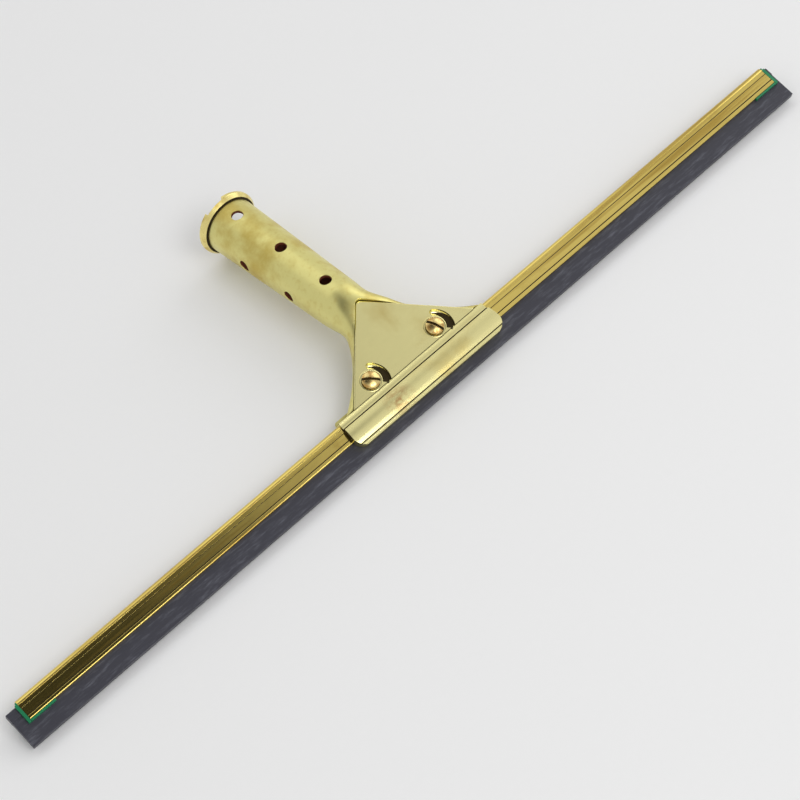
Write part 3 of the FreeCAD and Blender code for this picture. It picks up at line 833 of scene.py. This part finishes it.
def pale_floor(colours):
    """Pale matt paper."""
    recipe = Recipe("pale_floor")
    fibre = recipe.noise(300, 4, 0.6)
    tone = recipe.mix(fibre, darker(colours.floor, 0.985), colours.floor)
    relief = recipe.bump(fibre, 0.05, 0.0001)
    return recipe.finish(tone, recipe.between(fibre, 0.75, 0.85), relief, 0.0)


# ---------------------------------------------------------------- pieces

def colours_now():
    """The colours as they are set now."""
    return bpy.context.scene.squeegee_finish


class SQUEEGEE_OT_rubber(bpy.types.Operator):
    """Models the rubber blade with the bead that the channel holds"""
    bl_idname = "squeegee.rubber"
    bl_label = "Rubber Blade"

    def execute(self, context):
        s = sizes()
        half = (s.channel_length + s.rubber_overhang) / 2
        bead_bottom = s.rubber_height - s.bead_height
        edge = 0.12
        corner = 0.2
        right = [(0, s.half_rubber, edge), (bead_bottom, s.half_rubber, corner),
                 (bead_bottom, s.bead_width / 2, corner), (s.rubber_height, s.bead_width / 2, s.bead_round)]
        left = [(y, -z, radius) for y, z, radius in reversed(right)]
        piece = bar("rubber", fillet(right + left), -half - s.rubber_shift, half - s.rubber_shift)
        round_edges(piece, edge, 2, 60, lambda m: abs(abs(m.x + s.rubber_shift) - half) < NEAR)
        settle(piece, "rubber_strip", [blade_rubber(colours_now())], "rubber",
               ["rubber_blade"])
        return {"FINISHED"}


class SQUEEGEE_OT_channel(bpy.types.Operator):
    """Models the drawn brass channel with its lips, grooves and recessed faces"""
    bl_idname = "squeegee.channel"
    bl_label = "Channel"

    def execute(self, context):
        s = sizes()
        half = s.channel_length / 2
        low = s.channel_bottom
        groove = low + s.lip_bead
        face = groove + s.groove_width
        face_top = face + s.face_height
        inner = s.half_channel - s.face_recess
        floor = s.half_channel - s.groove_depth
        slope = 0.1
        step_slope = 0.15
        crisp = 0.05
        score = s.channel_top - 4.5
        score_half = 0.17
        score_depth = 0.12
        right = [
            (low, s.slot_half, 0.2),
            (low, s.half_channel, s.lip_round),
            (groove, s.half_channel, 0.3),
            (groove + slope, floor, crisp),
            (face - slope, floor, crisp),
            (face, inner, crisp),
            (score - score_half, inner, crisp),
            (score, inner - score_depth, crisp),
            (score + score_half, inner, crisp),
            (face_top, inner, 0.1),
            (face_top + step_slope, s.half_channel, 0.1),
            (s.channel_top, s.half_channel, s.top_round),
        ]
        inside = [
            (s.channel_top - s.channel_wall, -s.cavity_half, 0.6),
            (low + s.lip_height, -s.cavity_half, 0.2),
            (low + s.lip_height, -s.slot_half, 0.2),
        ]
        left = [(y, -z, radius) for y, z, radius in reversed(right)]
        inside_right = [(y, -z, radius) for y, z, radius in reversed(inside)]
        section = fillet(right + left + list(inside[::-1]) + inside_right[::-1], 6)
        piece = bar("channel", section, -half, half)
        round_edges(piece, 0.08, 2, 60, lambda m: abs(abs(m.x) - half) < NEAR)
        # Faces in the groove and the scored line take the second material: painted shade in these creases,
        # partly dirt.
        for polygon in piece.data.polygons:
            _, y, z = polygon.center
            in_groove = groove - 0.02 < y < face + 0.02 and inner - 0.3 < abs(z) < s.half_channel - 0.05
            in_score = abs(y - score) < score_half - NEAR and abs(z) > inner - 0.2
            polygon.material_index = int(in_groove or in_score)
        colours = colours_now()
        settle(piece, "blade_channel", [drawn_brass(colours), seam_brass(colours)], "channel",
               ["channel_spine", "channel_front_wall", "channel_rear_wall"])
        return {"FINISHED"}


class SQUEEGEE_OT_clips(bpy.types.Operator):
    """Models the two moulded end clips"""
    bl_idname = "squeegee.clips"
    bl_label = "End Clips"

    def execute(self, context):
        s = sizes()
        plastic = clip_plastic(colours_now())
        for side, name in ((-1, "left"), (1, "right")):
            piece = self.model(s)
            if side < 0:
                activate(piece)
                piece.scale = (-1, 1, 1)
                bpy.ops.object.transform_apply(location=True, rotation=True, scale=True)
                edit(piece, "FACE", every)
                close_edit(piece)
            ease_edges(piece, 0.14, 3)
            settle(piece, name + "_clip_moulding", [plastic], name + "_clip",
                   [name + "_end_clip"])
        return {"FINISHED"}

    def model(self, s):
        """The right clip: legs and rails beside the rubber, and a tongue above its bead."""
        gap = s.clearance.clip
        end = s.channel_length / 2 + gap
        half = s.half_channel - s.clip_inset
        rail_top = s.channel_bottom - gap
        rail_bottom = rail_top - s.clip_rail_height
        bead_top = s.rubber_height + gap
        tongue_top = s.channel_top - s.channel_wall - s.clearance.clip_roof
        bead_bottom = s.rubber_height - s.bead_height - gap
        lap = 0.3
        piece = block("clip", end, end + s.clip_leg, rail_bottom, bead_top, -half, half)
        bridge = block("bridge", end - s.clip_spigot, end + s.clip_bridge, bead_top - lap, tongue_top,
                       -s.clip_spigot_half, s.clip_spigot_half)
        head = block("head", end, end + s.clip_bridge, bead_top - lap, tongue_top, -half, half)
        rails = block("rails", end - s.clip_rail, end + lap, rail_bottom, rail_top, -half, half)
        piece = join(join(join(piece, head), rails), bridge)
        reach = 30.0
        body_room = block("room", end - reach, end + reach, rail_bottom - 1, bead_top, -s.slot_half, s.slot_half)
        bead_room = block("room", end - reach, end + reach, bead_bottom, bead_top, -s.cavity_half, s.cavity_half)
        return cut(cut(piece, body_room), bead_room)


class SQUEEGEE_OT_handle(bpy.types.Operator):
    """Models the cast handle: drilled tube, fan with the pocket for the plate, and rear jaw"""
    bl_idname = "squeegee.handle"
    bl_label = "Handle"

    sides = 112

    def execute(self, context):
        s = sizes()
        piece = skin("handle", self.tube_rings(s) + self.fan_rings(s))
        round_edges(piece, 0.35, 3, 50, lambda m: abs(m.y - s.seat) < 0.05)
        piece = join(piece, self.rear_jaw(s))
        piece = cut(piece, prism("pocket", plate_outline(s, s.clearance.pocket), s.pocket_floor, FAR))
        round_edges(piece, 0.3, 3, 40, lambda m: m.z > s.pocket_floor + 1.5 and m.y > s.seat + 0.6)
        piece = self.hollow(s, piece)
        piece = cut(piece, self.drills(s))
        for side in (-1, 1):
            start = Vector((side * s.screw_spacing / 2, s.screw_level, -FAR / 3))
            piece = cut(piece, rod("tap", s.screw_radius + s.clearance.thread, start, AHEAD, FAR * 2 / 3))
        for polygon in piece.data.polygons:
            polygon.material_index = self.is_inside(s, polygon.center)
        colours = colours_now()
        settle(piece, "cast_handle", [cast_brass(colours), tube_inside(colours)], "handle",
               ["handle"])
        return {"FINISHED"}

    def tube_rings(self, s):
        """Rings of the tapered tube from the collar to where it stops being round."""
        rings = []
        steps = 72
        for step in range(steps):
            along = s.round_length * step / steps
            centre = s.collar_face - s.tube_out * along
            rings.append(self.ring(s, centre, s.tube_up, tube_radius(s, along), tube_radius(s, along), 2))
        return rings

    def ring(self, s, centre, across, half_width, half_height, power):
        """One ring of the skin."""
        loop = squared_loop(half_width, half_height, power, self.sides)
        return [centre + Vector((x, 0, 0)) + across * h for x, h in loop]

    def fan_rings(self, s):
        """Rings of the fan: the tube's lean, swelling and roundness fade out towards the seat."""
        rings = []
        steps = 56
        radius = tube_radius(s, s.round_length)
        swelling = radius - s.fan_half_thickness
        for step in range(steps + 1):
            below = (s.fan_height + s.round_above) * step / steps
            drop = below - s.round_above
            level = s.neck - drop
            lean = math.exp(-(below / 12.5) ** 2.2)
            swell = swelling * math.exp(-(below / 11.5) ** 1.78)
            power = 6 - 4 * math.exp(-(below / 26) ** 2.2)
            if drop < 0:
                half_width = s.neck_radius + (radius - s.neck_radius) * (drop / s.round_above) ** 2
            else:
                half_width = s.neck_radius + (s.fan_half - s.neck_radius) * (drop / s.fan_height) ** 2
            height = (s.axis_height - (level - s.axis_point.y) * math.tan(s.tilt)) * lean
            across = Vector((0, math.sin(s.tilt * lean), math.cos(s.tilt * lean)))
            share = min(1, max(0, drop / s.shift_drop))
            centre = Vector((s.fan_shift * share * share * (3 - 2 * share), level, height))
            rings.append(self.ring(s, centre, across, half_width, s.fan_half_thickness + swell, power))
        return rings

    def rear_jaw(self, s):
        """Bar behind the channel that backs the clamp."""
        half = s.fan_half + s.jaw_extra
        bottom = s.channel_bottom - s.jaw_lip
        back = -s.jaw_face - s.jaw_thickness
        top = s.seat + 3
        corners = [(-half, top, 1), (-half, bottom, s.jaw_corner), (half, bottom, s.jaw_corner),
                   (half, top, 1)]
        jaw = prism("rear_jaw", fillet(corners, 8), back, -s.jaw_face)
        round_edges(jaw, s.jaw_round, 4, 60, lambda m: m.z < back + NEAR)
        return round_edges(jaw, 0.2, 2, 60, lambda m: m.z > -s.jaw_face - NEAR)

    def hollow(self, s, piece):
        """Tapered hollow of the tube with its coned end and the seat of the collar."""
        inward = -s.tube_out
        start = tube_radius(s, 0) - s.wall
        end = tube_radius(s, s.round_length) - s.wall
        tip = s.round_length + 4.8
        section = [(0, -1, 0), (start, -1, 0), (start, 0, 0), (end, s.round_length, 3), (2.4, tip, 0),
                   (0, tip, 0)]
        piece = cut(piece, turned("hollow", fillet(section), s.collar_face, inward, 96))
        seat_length = s.spigot_length + s.clearance.collar
        seat_start = s.collar_face + s.tube_out
        return cut(piece, rod("seat", s.spigot_radius, seat_start, inward, seat_length + 1, 96))

    def drills(self, s):
        """Cutters of all the drilled holes, each with a flare that rounds the rim to the tube's curve."""
        cutters = []
        pitch = (s.round_length - s.drill_start - s.drill_end) / (s.drill_count - 1)
        for row in range(s.drill_count):
            along = s.drill_start + row * pitch
            way = s.tube_up if row % 2 == 0 else Vector((1, 0, 0))
            for sign in (-1, 1):
                cutters.append(self.drill(s, along, way * sign))
        activate(cutters[0])
        for cutter in cutters:
            cutter.select_set(True)
        bpy.ops.object.join()
        return bpy.context.object

    def drill(self, s, along, way):
        """One flared cutter, from inside the tube out through its wall."""
        across = s.tube_out.cross(way)
        centre = s.collar_face - s.tube_out * along
        steps = 5
        sides = 48
        profile = [(s.drill_radius, -s.wall - 1.2), (s.drill_radius, -s.drill_round)]
        for step in range(1, steps + 1):
            angle = math.pi / 2 * step / steps
            profile.append((s.drill_radius + s.drill_round * (1 - math.cos(angle)),
                            -s.drill_round * (1 - math.sin(angle))))
        profile.append((s.drill_radius + s.drill_round, 1.5))
        rings = []
        for radius, depth in profile:
            ring = []
            for side in range(sides):
                angle = 2 * math.pi * side / sides
                a = radius * math.cos(angle)
                b = radius * math.sin(angle)
                surface = math.sqrt(tube_radius(s, along - a) ** 2 - b ** 2)
                ring.append(centre + s.tube_out * a + across * b + way * (surface + depth))
            rings.append(ring)
        return skin("drill", rings)

    def is_inside(self, s, point):
        """1 for a point well below the outside of the tube, else 0."""
        offset = s.collar_face - point
        along = offset.dot(s.tube_out)
        away = (offset - s.tube_out * along).length
        if 0.5 < along < s.round_length - 1:
            return int(away < tube_radius(s, along) - s.drill_round - 0.15)
        return int(0.5 < along < s.round_length + 6 and away < tube_radius(s, along) - s.wall + 0.02)


class SQUEEGEE_OT_collar(bpy.types.Operator):
    """Models the turned collar with its notches and its staked dot"""
    bl_idname = "squeegee.collar"
    bl_label = "End Collar"

    def execute(self, context):
        s = sizes()
        rim = s.end_radius + s.rim_height
        spigot = s.spigot_radius - s.clearance.collar
        groove = 0.45
        foot = rim - s.slope_height - 0.35
        section = fillet([
            (s.pole_radius, -s.spigot_length, 0.25),
            (spigot, -s.spigot_length, 0.3),
            (spigot, 0, 0),
            (foot, 0, 0.1),
            (foot, groove, 0.1),
            (foot + 0.5, groove, 0.2),
            (rim, s.slope_length, 0.9),
            (rim, s.rim_length, s.rim_round),
            (s.pole_radius, s.rim_length, 0.5),
        ], 6)
        piece = turned("collar", section, s.collar_face, s.tube_out, 144)
        # Faces of the groove at the collar's foot take the second material: painted shade in the gap line.
        for polygon in piece.data.polygons:
            offset = polygon.center - s.collar_face
            height = offset.dot(s.tube_out)
            away = (offset - s.tube_out * height).length
            polygon.material_index = int(-NEAR < height < groove + 0.02 and away > s.end_radius - 0.5)
        end = s.collar_face + s.tube_out * s.rim_length
        for extra in (0, math.pi):
            piece = cut(piece, self.notch(s, end, s.notch_turn + extra))
        round_edges(piece, 0.22, 2, 50, lambda m: (m - end).dot(s.tube_out) > -s.notch_depth - 0.05)
        radial = Vector((-math.sin(s.stake_turn), 0, 0)) + s.tube_up * math.cos(s.stake_turn)
        start = s.collar_face + s.tube_out * (s.rim_length / 2 + 0.2) + radial * (rim - 0.6)
        piece = cut(piece, rod("stake", 0.55, start, radial, 1.2, 24, end_radius=1.15))
        colours = colours_now()
        settle(piece, "turned_collar", [turned_brass(colours), seam_brass(colours)], "handle",
               ["end_collar"])
        return {"FINISHED"}

    def notch(self, s, end, angle):
        """Cutter of one notch, as wide as the notch angle."""
        rim = s.end_radius + s.rim_height
        inner = s.pole_radius - 3
        section = [(inner, -s.notch_depth), (rim + 2, -s.notch_depth), (rim + 2, 2), (inner, 2)]
        cutter = turned("notch", section, Vector((0, 0, 0)), AHEAD, 16, s.notch_angle)
        first = math.pi / 2 + angle + s.notch_angle / 2
        activate(cutter)
        axes = Matrix((Vector((1, 0, 0)), s.tube_up, s.tube_out)).transposed().to_4x4()
        cutter.matrix_world = Matrix.Translation(end) @ axes @ Matrix.Rotation(first, 4, "Z")
        bpy.ops.object.transform_apply(location=True, rotation=True, scale=True)
        edit(cutter, "FACE", every)
        return close_edit(cutter)


class SQUEEGEE_OT_front_jaw(bpy.types.Operator):
    """Models the front jaw: field plate, screw lands, crescents, strip and clamp bar"""
    bl_idname = "squeegee.front_jaw"
    bl_label = "Front Jaw"

    def execute(self, context):
        s = sizes()
        piece = self.bar_and_strip(s)
        plate = prism("plate", plate_outline(s, 0), s.plate_back, s.plate_front)
        round_edges(plate, 0.4, 4, 60, lambda m: m.z > s.plate_front - NEAR)
        plate = cut(plate, block("trim", -FAR, FAR, 0, s.strip_top - 0.3, -FAR, FAR))
        piece = join(piece, plate)
        for side in (-1, 1):
            piece = cut(piece, self.crescent(s, side * s.screw_spacing / 2))
        for side in (-1, 1):
            centre = Vector((side * s.screw_spacing / 2, s.screw_level, s.plate_back))
            piece = join(piece, self.land(s, centre))
            piece = self.trim_lands(s, piece)
            hole_radius = s.screw_radius + s.clearance.screw_hole
            piece = cut(piece, rod("hole", hole_radius, centre - AHEAD, AHEAD, 20))
        # Corners, grooves, ring grooves and pocket floors take the second material: painted shade and painted
        # dark reflection, partly dirt.
        for polygon in piece.data.polygons:
            polygon.material_index = self.is_seam(s, polygon)
        colours = colours_now()
        settle(piece, "front_clamp_jaw", [jaw_brass(colours), seam_brass(colours)], "front_jaw",
               ["front_jaw"])
        return {"FINISHED"}

    def land(self, s, centre):
        """Round land under a screw's head, with a fine groove round the head."""
        top = s.plate_thickness + s.land_height
        ring = s.head_radius + 0.45
        floor = top - 0.35
        crisp = 0.05
        section = [(0, 0, 0), (s.land_radius, 0, 0), (s.land_radius, top, 0.3), (ring, top, 0.1),
                   (ring - 0.05, floor, crisp), (ring - 0.6, floor, crisp), (ring - 0.65, top, crisp),
                   (0, top, 0)]
        return turned("land", fillet(section, 4), centre, AHEAD, 72)

    def is_seam(self, s, polygon):
        """1 for the corners, grooves and pocket floors that are painted dark, else 0: partly dirt, partly
        painted shade and painted dark reflection.
        """
        x, y, z = polygon.center
        shoulder = s.bar_bottom + s.bar_shoulder
        above_bar = s.bar_top - 0.12 < y < s.bar_top + 1.05 and s.strip_front - 0.5 < z < s.bar_front - 0.45
        in_groove = shoulder - 0.4 < y < shoulder and s.bar_front - 0.8 < z < s.bar_front - 0.1
        plate_foot = s.strip_top - 0.5 < y < s.strip_top and z > s.strip_front - 0.3
        below_plate = plate_foot and polygon.normal.y < -0.9
        in_ring = in_pocket = False
        for side in (-1, 1):
            u = x - side * s.screw_spacing / 2
            v = y - s.screw_level
            away = math.hypot(u, v)
            if s.head_radius - 0.35 < away < s.head_radius + 0.5:
                in_ring = in_ring or 0.04 < s.plate_front + s.land_height - z < 0.5
            if s.land_radius - 0.1 < away < s.land_radius + 4.2:
                along = (math.atan2(v, u) - s.crescent_start) / s.crescent_sweep
                in_pocket = in_pocket or s.plate_front - z > 0.3 + 1.35 * max(0, along)
        return int(above_bar or in_groove or below_plate or in_ring or in_pocket and y > s.strip_top)

    def trim_lands(self, s, piece):
        """Keeps the lands clear of the channel."""
        return cut(piece, block("room", -FAR, FAR, s.channel_bottom - s.clearance.pocket,
                                s.channel_top + 0.05, -FAR, s.jaw_face - 0.0004))

    def bar_and_strip(self, s):
        """Strip and bar along the channel, with the ends and lower corners rounded."""
        lip_back = s.half_rubber + s.clearance.lip
        lip_top = s.channel_bottom - s.clearance.pocket
        strip_end = s.bar_top + 0.4
        shoulder = s.bar_bottom + s.bar_shoulder
        hollow = crown((s.strip_top - 0.35, s.strip_front), (strip_end + 0.2, s.strip_front), s.strip_dip, 8)
        face = crown((s.bar_top - 0.25, s.bar_front), (shoulder + 0.1, s.bar_front), -s.bar_crown, 16)
        corners = [
            (s.bar_bottom, lip_back, 0.15),
            (lip_top, lip_back, 0.15),
            (lip_top, s.jaw_face, 0),
            (s.strip_top, s.jaw_face, 0),
            (s.strip_top, s.strip_front, 0.25),
            *plain(hollow),
            (strip_end, s.strip_front, 0.15),
            (s.bar_top, s.bar_front, 0.22),
            *plain(face),
            (shoulder, s.bar_front, 0.12),
            (shoulder - 0.35, s.bar_front - 0.65, 0.12),
            (s.bar_bottom + 0.55, s.bar_front - 0.75, 0.35),
            (s.bar_bottom, s.bar_front - 1.9, 0.45),
        ]
        foot = s.fan_half + s.bar_extra
        top = s.fan_half + s.bar_top_extra
        piece = bar("jaw", fillet(corners, 4), -foot - 1, foot + 1)
        shape = fillet([(-top, s.seat + 1, 0), (-foot, s.bar_bottom, s.bar_corner),
                        (foot, s.bar_bottom, s.bar_corner), (top, s.seat + 1, 0)], 12)
        piece = combine(piece, prism("shape", shape, 0, FAR), "INTERSECT")
        return round_edges(piece, 0.45, 4, 55, lambda m: m.z > s.jaw_face + 0.3 and self.on_outline(s, m))

    def on_outline(self, s, point):
        """True for a point on the bar's rounded outline."""
        foot = s.fan_half + s.bar_extra
        top = s.fan_half + s.bar_top_extra
        low = s.bar_bottom + s.bar_corner
        x = abs(point.x)
        if point.y >= low - 0.3:
            share = (point.y - s.bar_bottom) / (s.seat + 1 - s.bar_bottom)
            return abs(x - (foot + (top - foot) * share)) < 0.15
        corner = math.hypot(x - (foot - s.bar_corner), point.y - low)
        return x > foot - s.bar_corner and abs(corner - s.bar_corner) < 0.25

    def crescent(self, s, x):
        """Cutter of a curved trough, wide where it opens to the strip and narrow at its rounded end."""
        half = s.crescent_width / 2
        bands = 14
        wide_outside = 1.22
        wide_inside = 1.10
        narrow = 0.82
        levels = []
        for step in range(1, bands + 1):
            angle = math.pi / 2 * step / bands
            depth = s.crescent_depth * math.cos(angle)
            levels.append((s.plate_front - depth, half * 0.8 * (math.sin(angle) - 1)))
        levels += [(s.plate_front + 0.02, 0.05), (s.plate_front + 0.12, 0.2), (s.plate_front + 2, 0.2)]
        rings = []
        steps = 28
        cap_steps = 12
        start = s.crescent_start - math.radians(4)
        end = s.crescent_start + s.crescent_sweep
        mid = s.land_radius + s.crescent_width / 2
        for z, grow in levels:
            ring = []
            for step in range(steps + 1):
                share = step / steps
                angle = start + (end - start) * share
                outer = mid + half * (wide_outside + (narrow - wide_outside) * share) + grow
                ring.append((outer * math.cos(angle), outer * math.sin(angle)))
            cap = half * narrow + grow
            for step in range(1, cap_steps):
                angle = end + math.pi * step / cap_steps
                ring.append((mid * math.cos(end) + cap * math.cos(angle),
                             mid * math.sin(end) + cap * math.sin(angle)))
            for step in range(steps + 1):
                share = 1 - step / steps
                angle = start + (end - start) * share
                inner = mid - half * (wide_inside + (narrow - wide_inside) * share) - grow
                ring.append((inner * math.cos(angle), inner * math.sin(angle)))
            rings.append([Vector((x + u, s.screw_level + v, z)) for u, v in ring])
        return skin("crescent", rings)


class SQUEEGEE_OT_screws(bpy.types.Operator):
    """Models the two slotted clamp screws with domed heads and threads"""
    bl_idname = "squeegee.screws"
    bl_label = "Clamp Screws"

    def execute(self, context):
        s = sizes()
        colours = colours_now()
        finishes = [screw_brass(colours), seam_brass(colours)]
        for side, name, slot_turn in ((-1, "left", s.left_slot), (1, "right", s.right_slot)):
            piece = self.model(s, slot_turn)
            activate(piece)
            piece.location = (side * s.screw_spacing / 2, s.screw_level, 0)
            bpy.ops.object.transform_apply(location=True, rotation=True, scale=True)
            settle(piece, name + "_clamp_screw", finishes, name + "_screw", [name + "_screw"])
        return {"FINISHED"}

    def model(self, s, slot_turn):
        """One screw on the axis."""
        seat = s.plate_front + s.land_height
        foot = seat - s.screw_length
        edge = seat + s.head_edge
        top = edge + s.head_dome
        section = [(0, foot, 0), (s.screw_radius - 0.7, foot, 0), (s.screw_radius - 0.1, foot + 0.6, 0)]
        threads = int((s.screw_length - 2.4) / s.thread_pitch)
        for index in range(threads):
            height = foot + 0.8 + index * s.thread_pitch
            section.append((s.screw_radius - s.thread_depth, height, 0))
            section.append((s.screw_radius, height + s.thread_pitch * 0.45, 0))
            section.append((s.screw_radius, height + s.thread_pitch * 0.55, 0))
        section += [(s.screw_radius - s.thread_depth, seat - 1.0, 0),
                    (s.screw_radius - s.thread_depth, seat - 0.01, 0), (s.screw_radius, seat, 0),
                    (s.head_radius, seat, 0.2), (s.head_radius, edge, 0.35)]
        dome_radius = (s.head_radius ** 2 + s.head_dome ** 2) / (2 * s.head_dome)
        steps = 8
        for step in range(1, steps + 1):
            radius = s.head_radius * (1 - step / steps)
            section.append((radius, top - dome_radius + math.sqrt(dome_radius ** 2 - radius ** 2), 0))
        piece = turned("screw", fillet(section, 4), Vector((0, 0, 0)), AHEAD, 72)
        far = s.head_radius + 1
        floor = top - s.slot_depth
        slot = block("slot", -far, far, -s.slot_width / 2, s.slot_width / 2, floor, top + 1)
        activate(slot)
        slot.rotation_euler = (0, 0, slot_turn)
        bpy.ops.object.transform_apply(location=True, rotation=True, scale=True)
        piece = cut(piece, slot)
        round_edges(piece, 0.1, 2, 45, lambda m: m.z > floor + 0.1)
        # The head's side and the slot's floor take the second material: painted shade and painted dark
        # reflection.
        for polygon in piece.data.polygons:
            x, y, z = polygon.center
            on_side = math.hypot(x, y) > s.head_radius - 0.06 and seat + 0.02 < z < edge - 0.45
            polygon.material_index = int(on_side or abs(z - floor) < 0.02)
        return piece


class SQUEEGEE_OT_stage(bpy.types.Operator):
    """Sets up the floor, the studio light and the camera"""
    bl_idname = "squeegee.stage"
    bl_label = "Stage"

    def execute(self, context):
        studio = context.scene.squeegee_studio
        activate(None)
        bpy.ops.mesh.primitive_plane_add(size=FLOOR_SIZE, location=(0, 0, 0))
        floor = context.object
        floor.name = "studio_floor"
        floor.data.materials.append(pale_floor(colours_now()))
        context.scene.view_settings.view_transform = "Standard"
        self.world(context, studio)
        for name, power, place, size in LAMPS:
            self.lamp(context, name, getattr(studio, power), place, size)
        camera = bpy.data.cameras.new("view_camera")
        camera.lens = studio.lens
        camera.sensor_width = 36
        camera.clip_start = 0.05
        view = bpy.data.objects.new("view_camera", camera)
        context.scene.collection.objects.link(view)
        view.location = studio.place
        view.rotation_euler = studio.aim
        context.scene.camera = view
        return {"FINISHED"}

    def lamp(self, context, name, power, place, size):
        """A large soft rectangular light that faces the piece."""
        data = bpy.data.lights.new(name, "AREA")
        data.shape = "RECTANGLE"
        data.size = size[0]
        data.size_y = size[1]
        data.energy = power
        lamp = bpy.data.objects.new(name, data)
        context.scene.collection.objects.link(lamp)
        lamp.location = place
        lamp.rotation_euler = (-Vector(place)).to_track_quat("-Z", "Y").to_euler()

    def world(self, context, studio):
        """Light from all round, with a darker patch of ceiling a little to the left."""
        world = bpy.data.worlds.new("studio")
        world.use_nodes = True
        context.scene.world = world
        nodes = world.node_tree.nodes
        links = world.node_tree.links
        way = nodes.new("ShaderNodeTexCoord").outputs["Generated"]
        toward = nodes.new("ShaderNodeVectorMath")
        toward.operation = "DOT_PRODUCT"
        toward.inputs[1].default_value = SHADE_WAY.normalized()
        links.new(way, toward.inputs[0])
        shade = nodes.new("ShaderNodeMapRange")
        shade.interpolation_type = "SMOOTHSTEP"
        shade.inputs["From Min"].default_value = math.cos(SHADE_EDGE)
        shade.inputs["From Max"].default_value = math.cos(SHADE_CORE)
        shade.inputs["To Min"].default_value = studio.world_light
        shade.inputs["To Max"].default_value = studio.world_shade
        links.new(toward.outputs["Value"], shade.inputs["Value"])
        nodes["Background"].inputs["Color"].default_value = (1, 1, 1, 1)
        links.new(shade.outputs["Result"], nodes["Background"].inputs["Strength"])


PIECES = (
    SQUEEGEE_OT_rubber,
    SQUEEGEE_OT_channel,
    SQUEEGEE_OT_clips,
    SQUEEGEE_OT_handle,
    SQUEEGEE_OT_collar,
    SQUEEGEE_OT_front_jaw,
    SQUEEGEE_OT_screws,
    SQUEEGEE_OT_stage,
)

GROUPS = {
    "squeegee_blade": BladeSizes,
    "squeegee_handle": HandleSizes,
    "squeegee_jaw": JawSizes,
    "squeegee_finish": FinishColours,
    "squeegee_studio": StudioSettings,
}


class SQUEEGEE_PT_panel(bpy.types.Panel):
    """Lists the pieces and their sizes"""
    bl_idname = "SQUEEGEE_PT_panel"
    bl_label = "Brass Squeegee"
    bl_space_type = "VIEW_3D"
    bl_region_type = "UI"
    bl_category = "Squeegee"

    def draw(self, context):
        layout = self.layout
        for piece in PIECES:
            layout.operator(piece.bl_idname)
        for name, group in GROUPS.items():
            box = layout.box()
            box.label(text=group.__doc__)
            for prop in group.__annotations__:
                box.prop(getattr(context.scene, name), prop)


def register():
    """Registers the settings, the operators and the panel."""
    for group in GROUPS.values():
        bpy.utils.register_class(group)
    for name, group in GROUPS.items():
        setattr(bpy.types.Scene, name, PointerProperty(type=group))
    for piece in PIECES:
        bpy.utils.register_class(piece)
    bpy.utils.register_class(SQUEEGEE_PT_panel)


def unregister():
    """Takes them off again."""
    bpy.utils.unregister_class(SQUEEGEE_PT_panel)
    for piece in reversed(PIECES):
        bpy.utils.unregister_class(piece)
    for name in GROUPS:
        delattr(bpy.types.Scene, name)
    for group in GROUPS.values():
        bpy.utils.unregister_class(group)


def main():
    """Models the whole squeegee on its stage."""
    register()
    bpy.ops.squeegee.rubber()
    bpy.ops.squeegee.channel()
    bpy.ops.squeegee.clips()
    bpy.ops.squeegee.handle()
    bpy.ops.squeegee.collar()
    bpy.ops.squeegee.front_jaw()
    bpy.ops.squeegee.screws()
    bpy.ops.squeegee.stage()


if __name__ == "__main__":
    main()
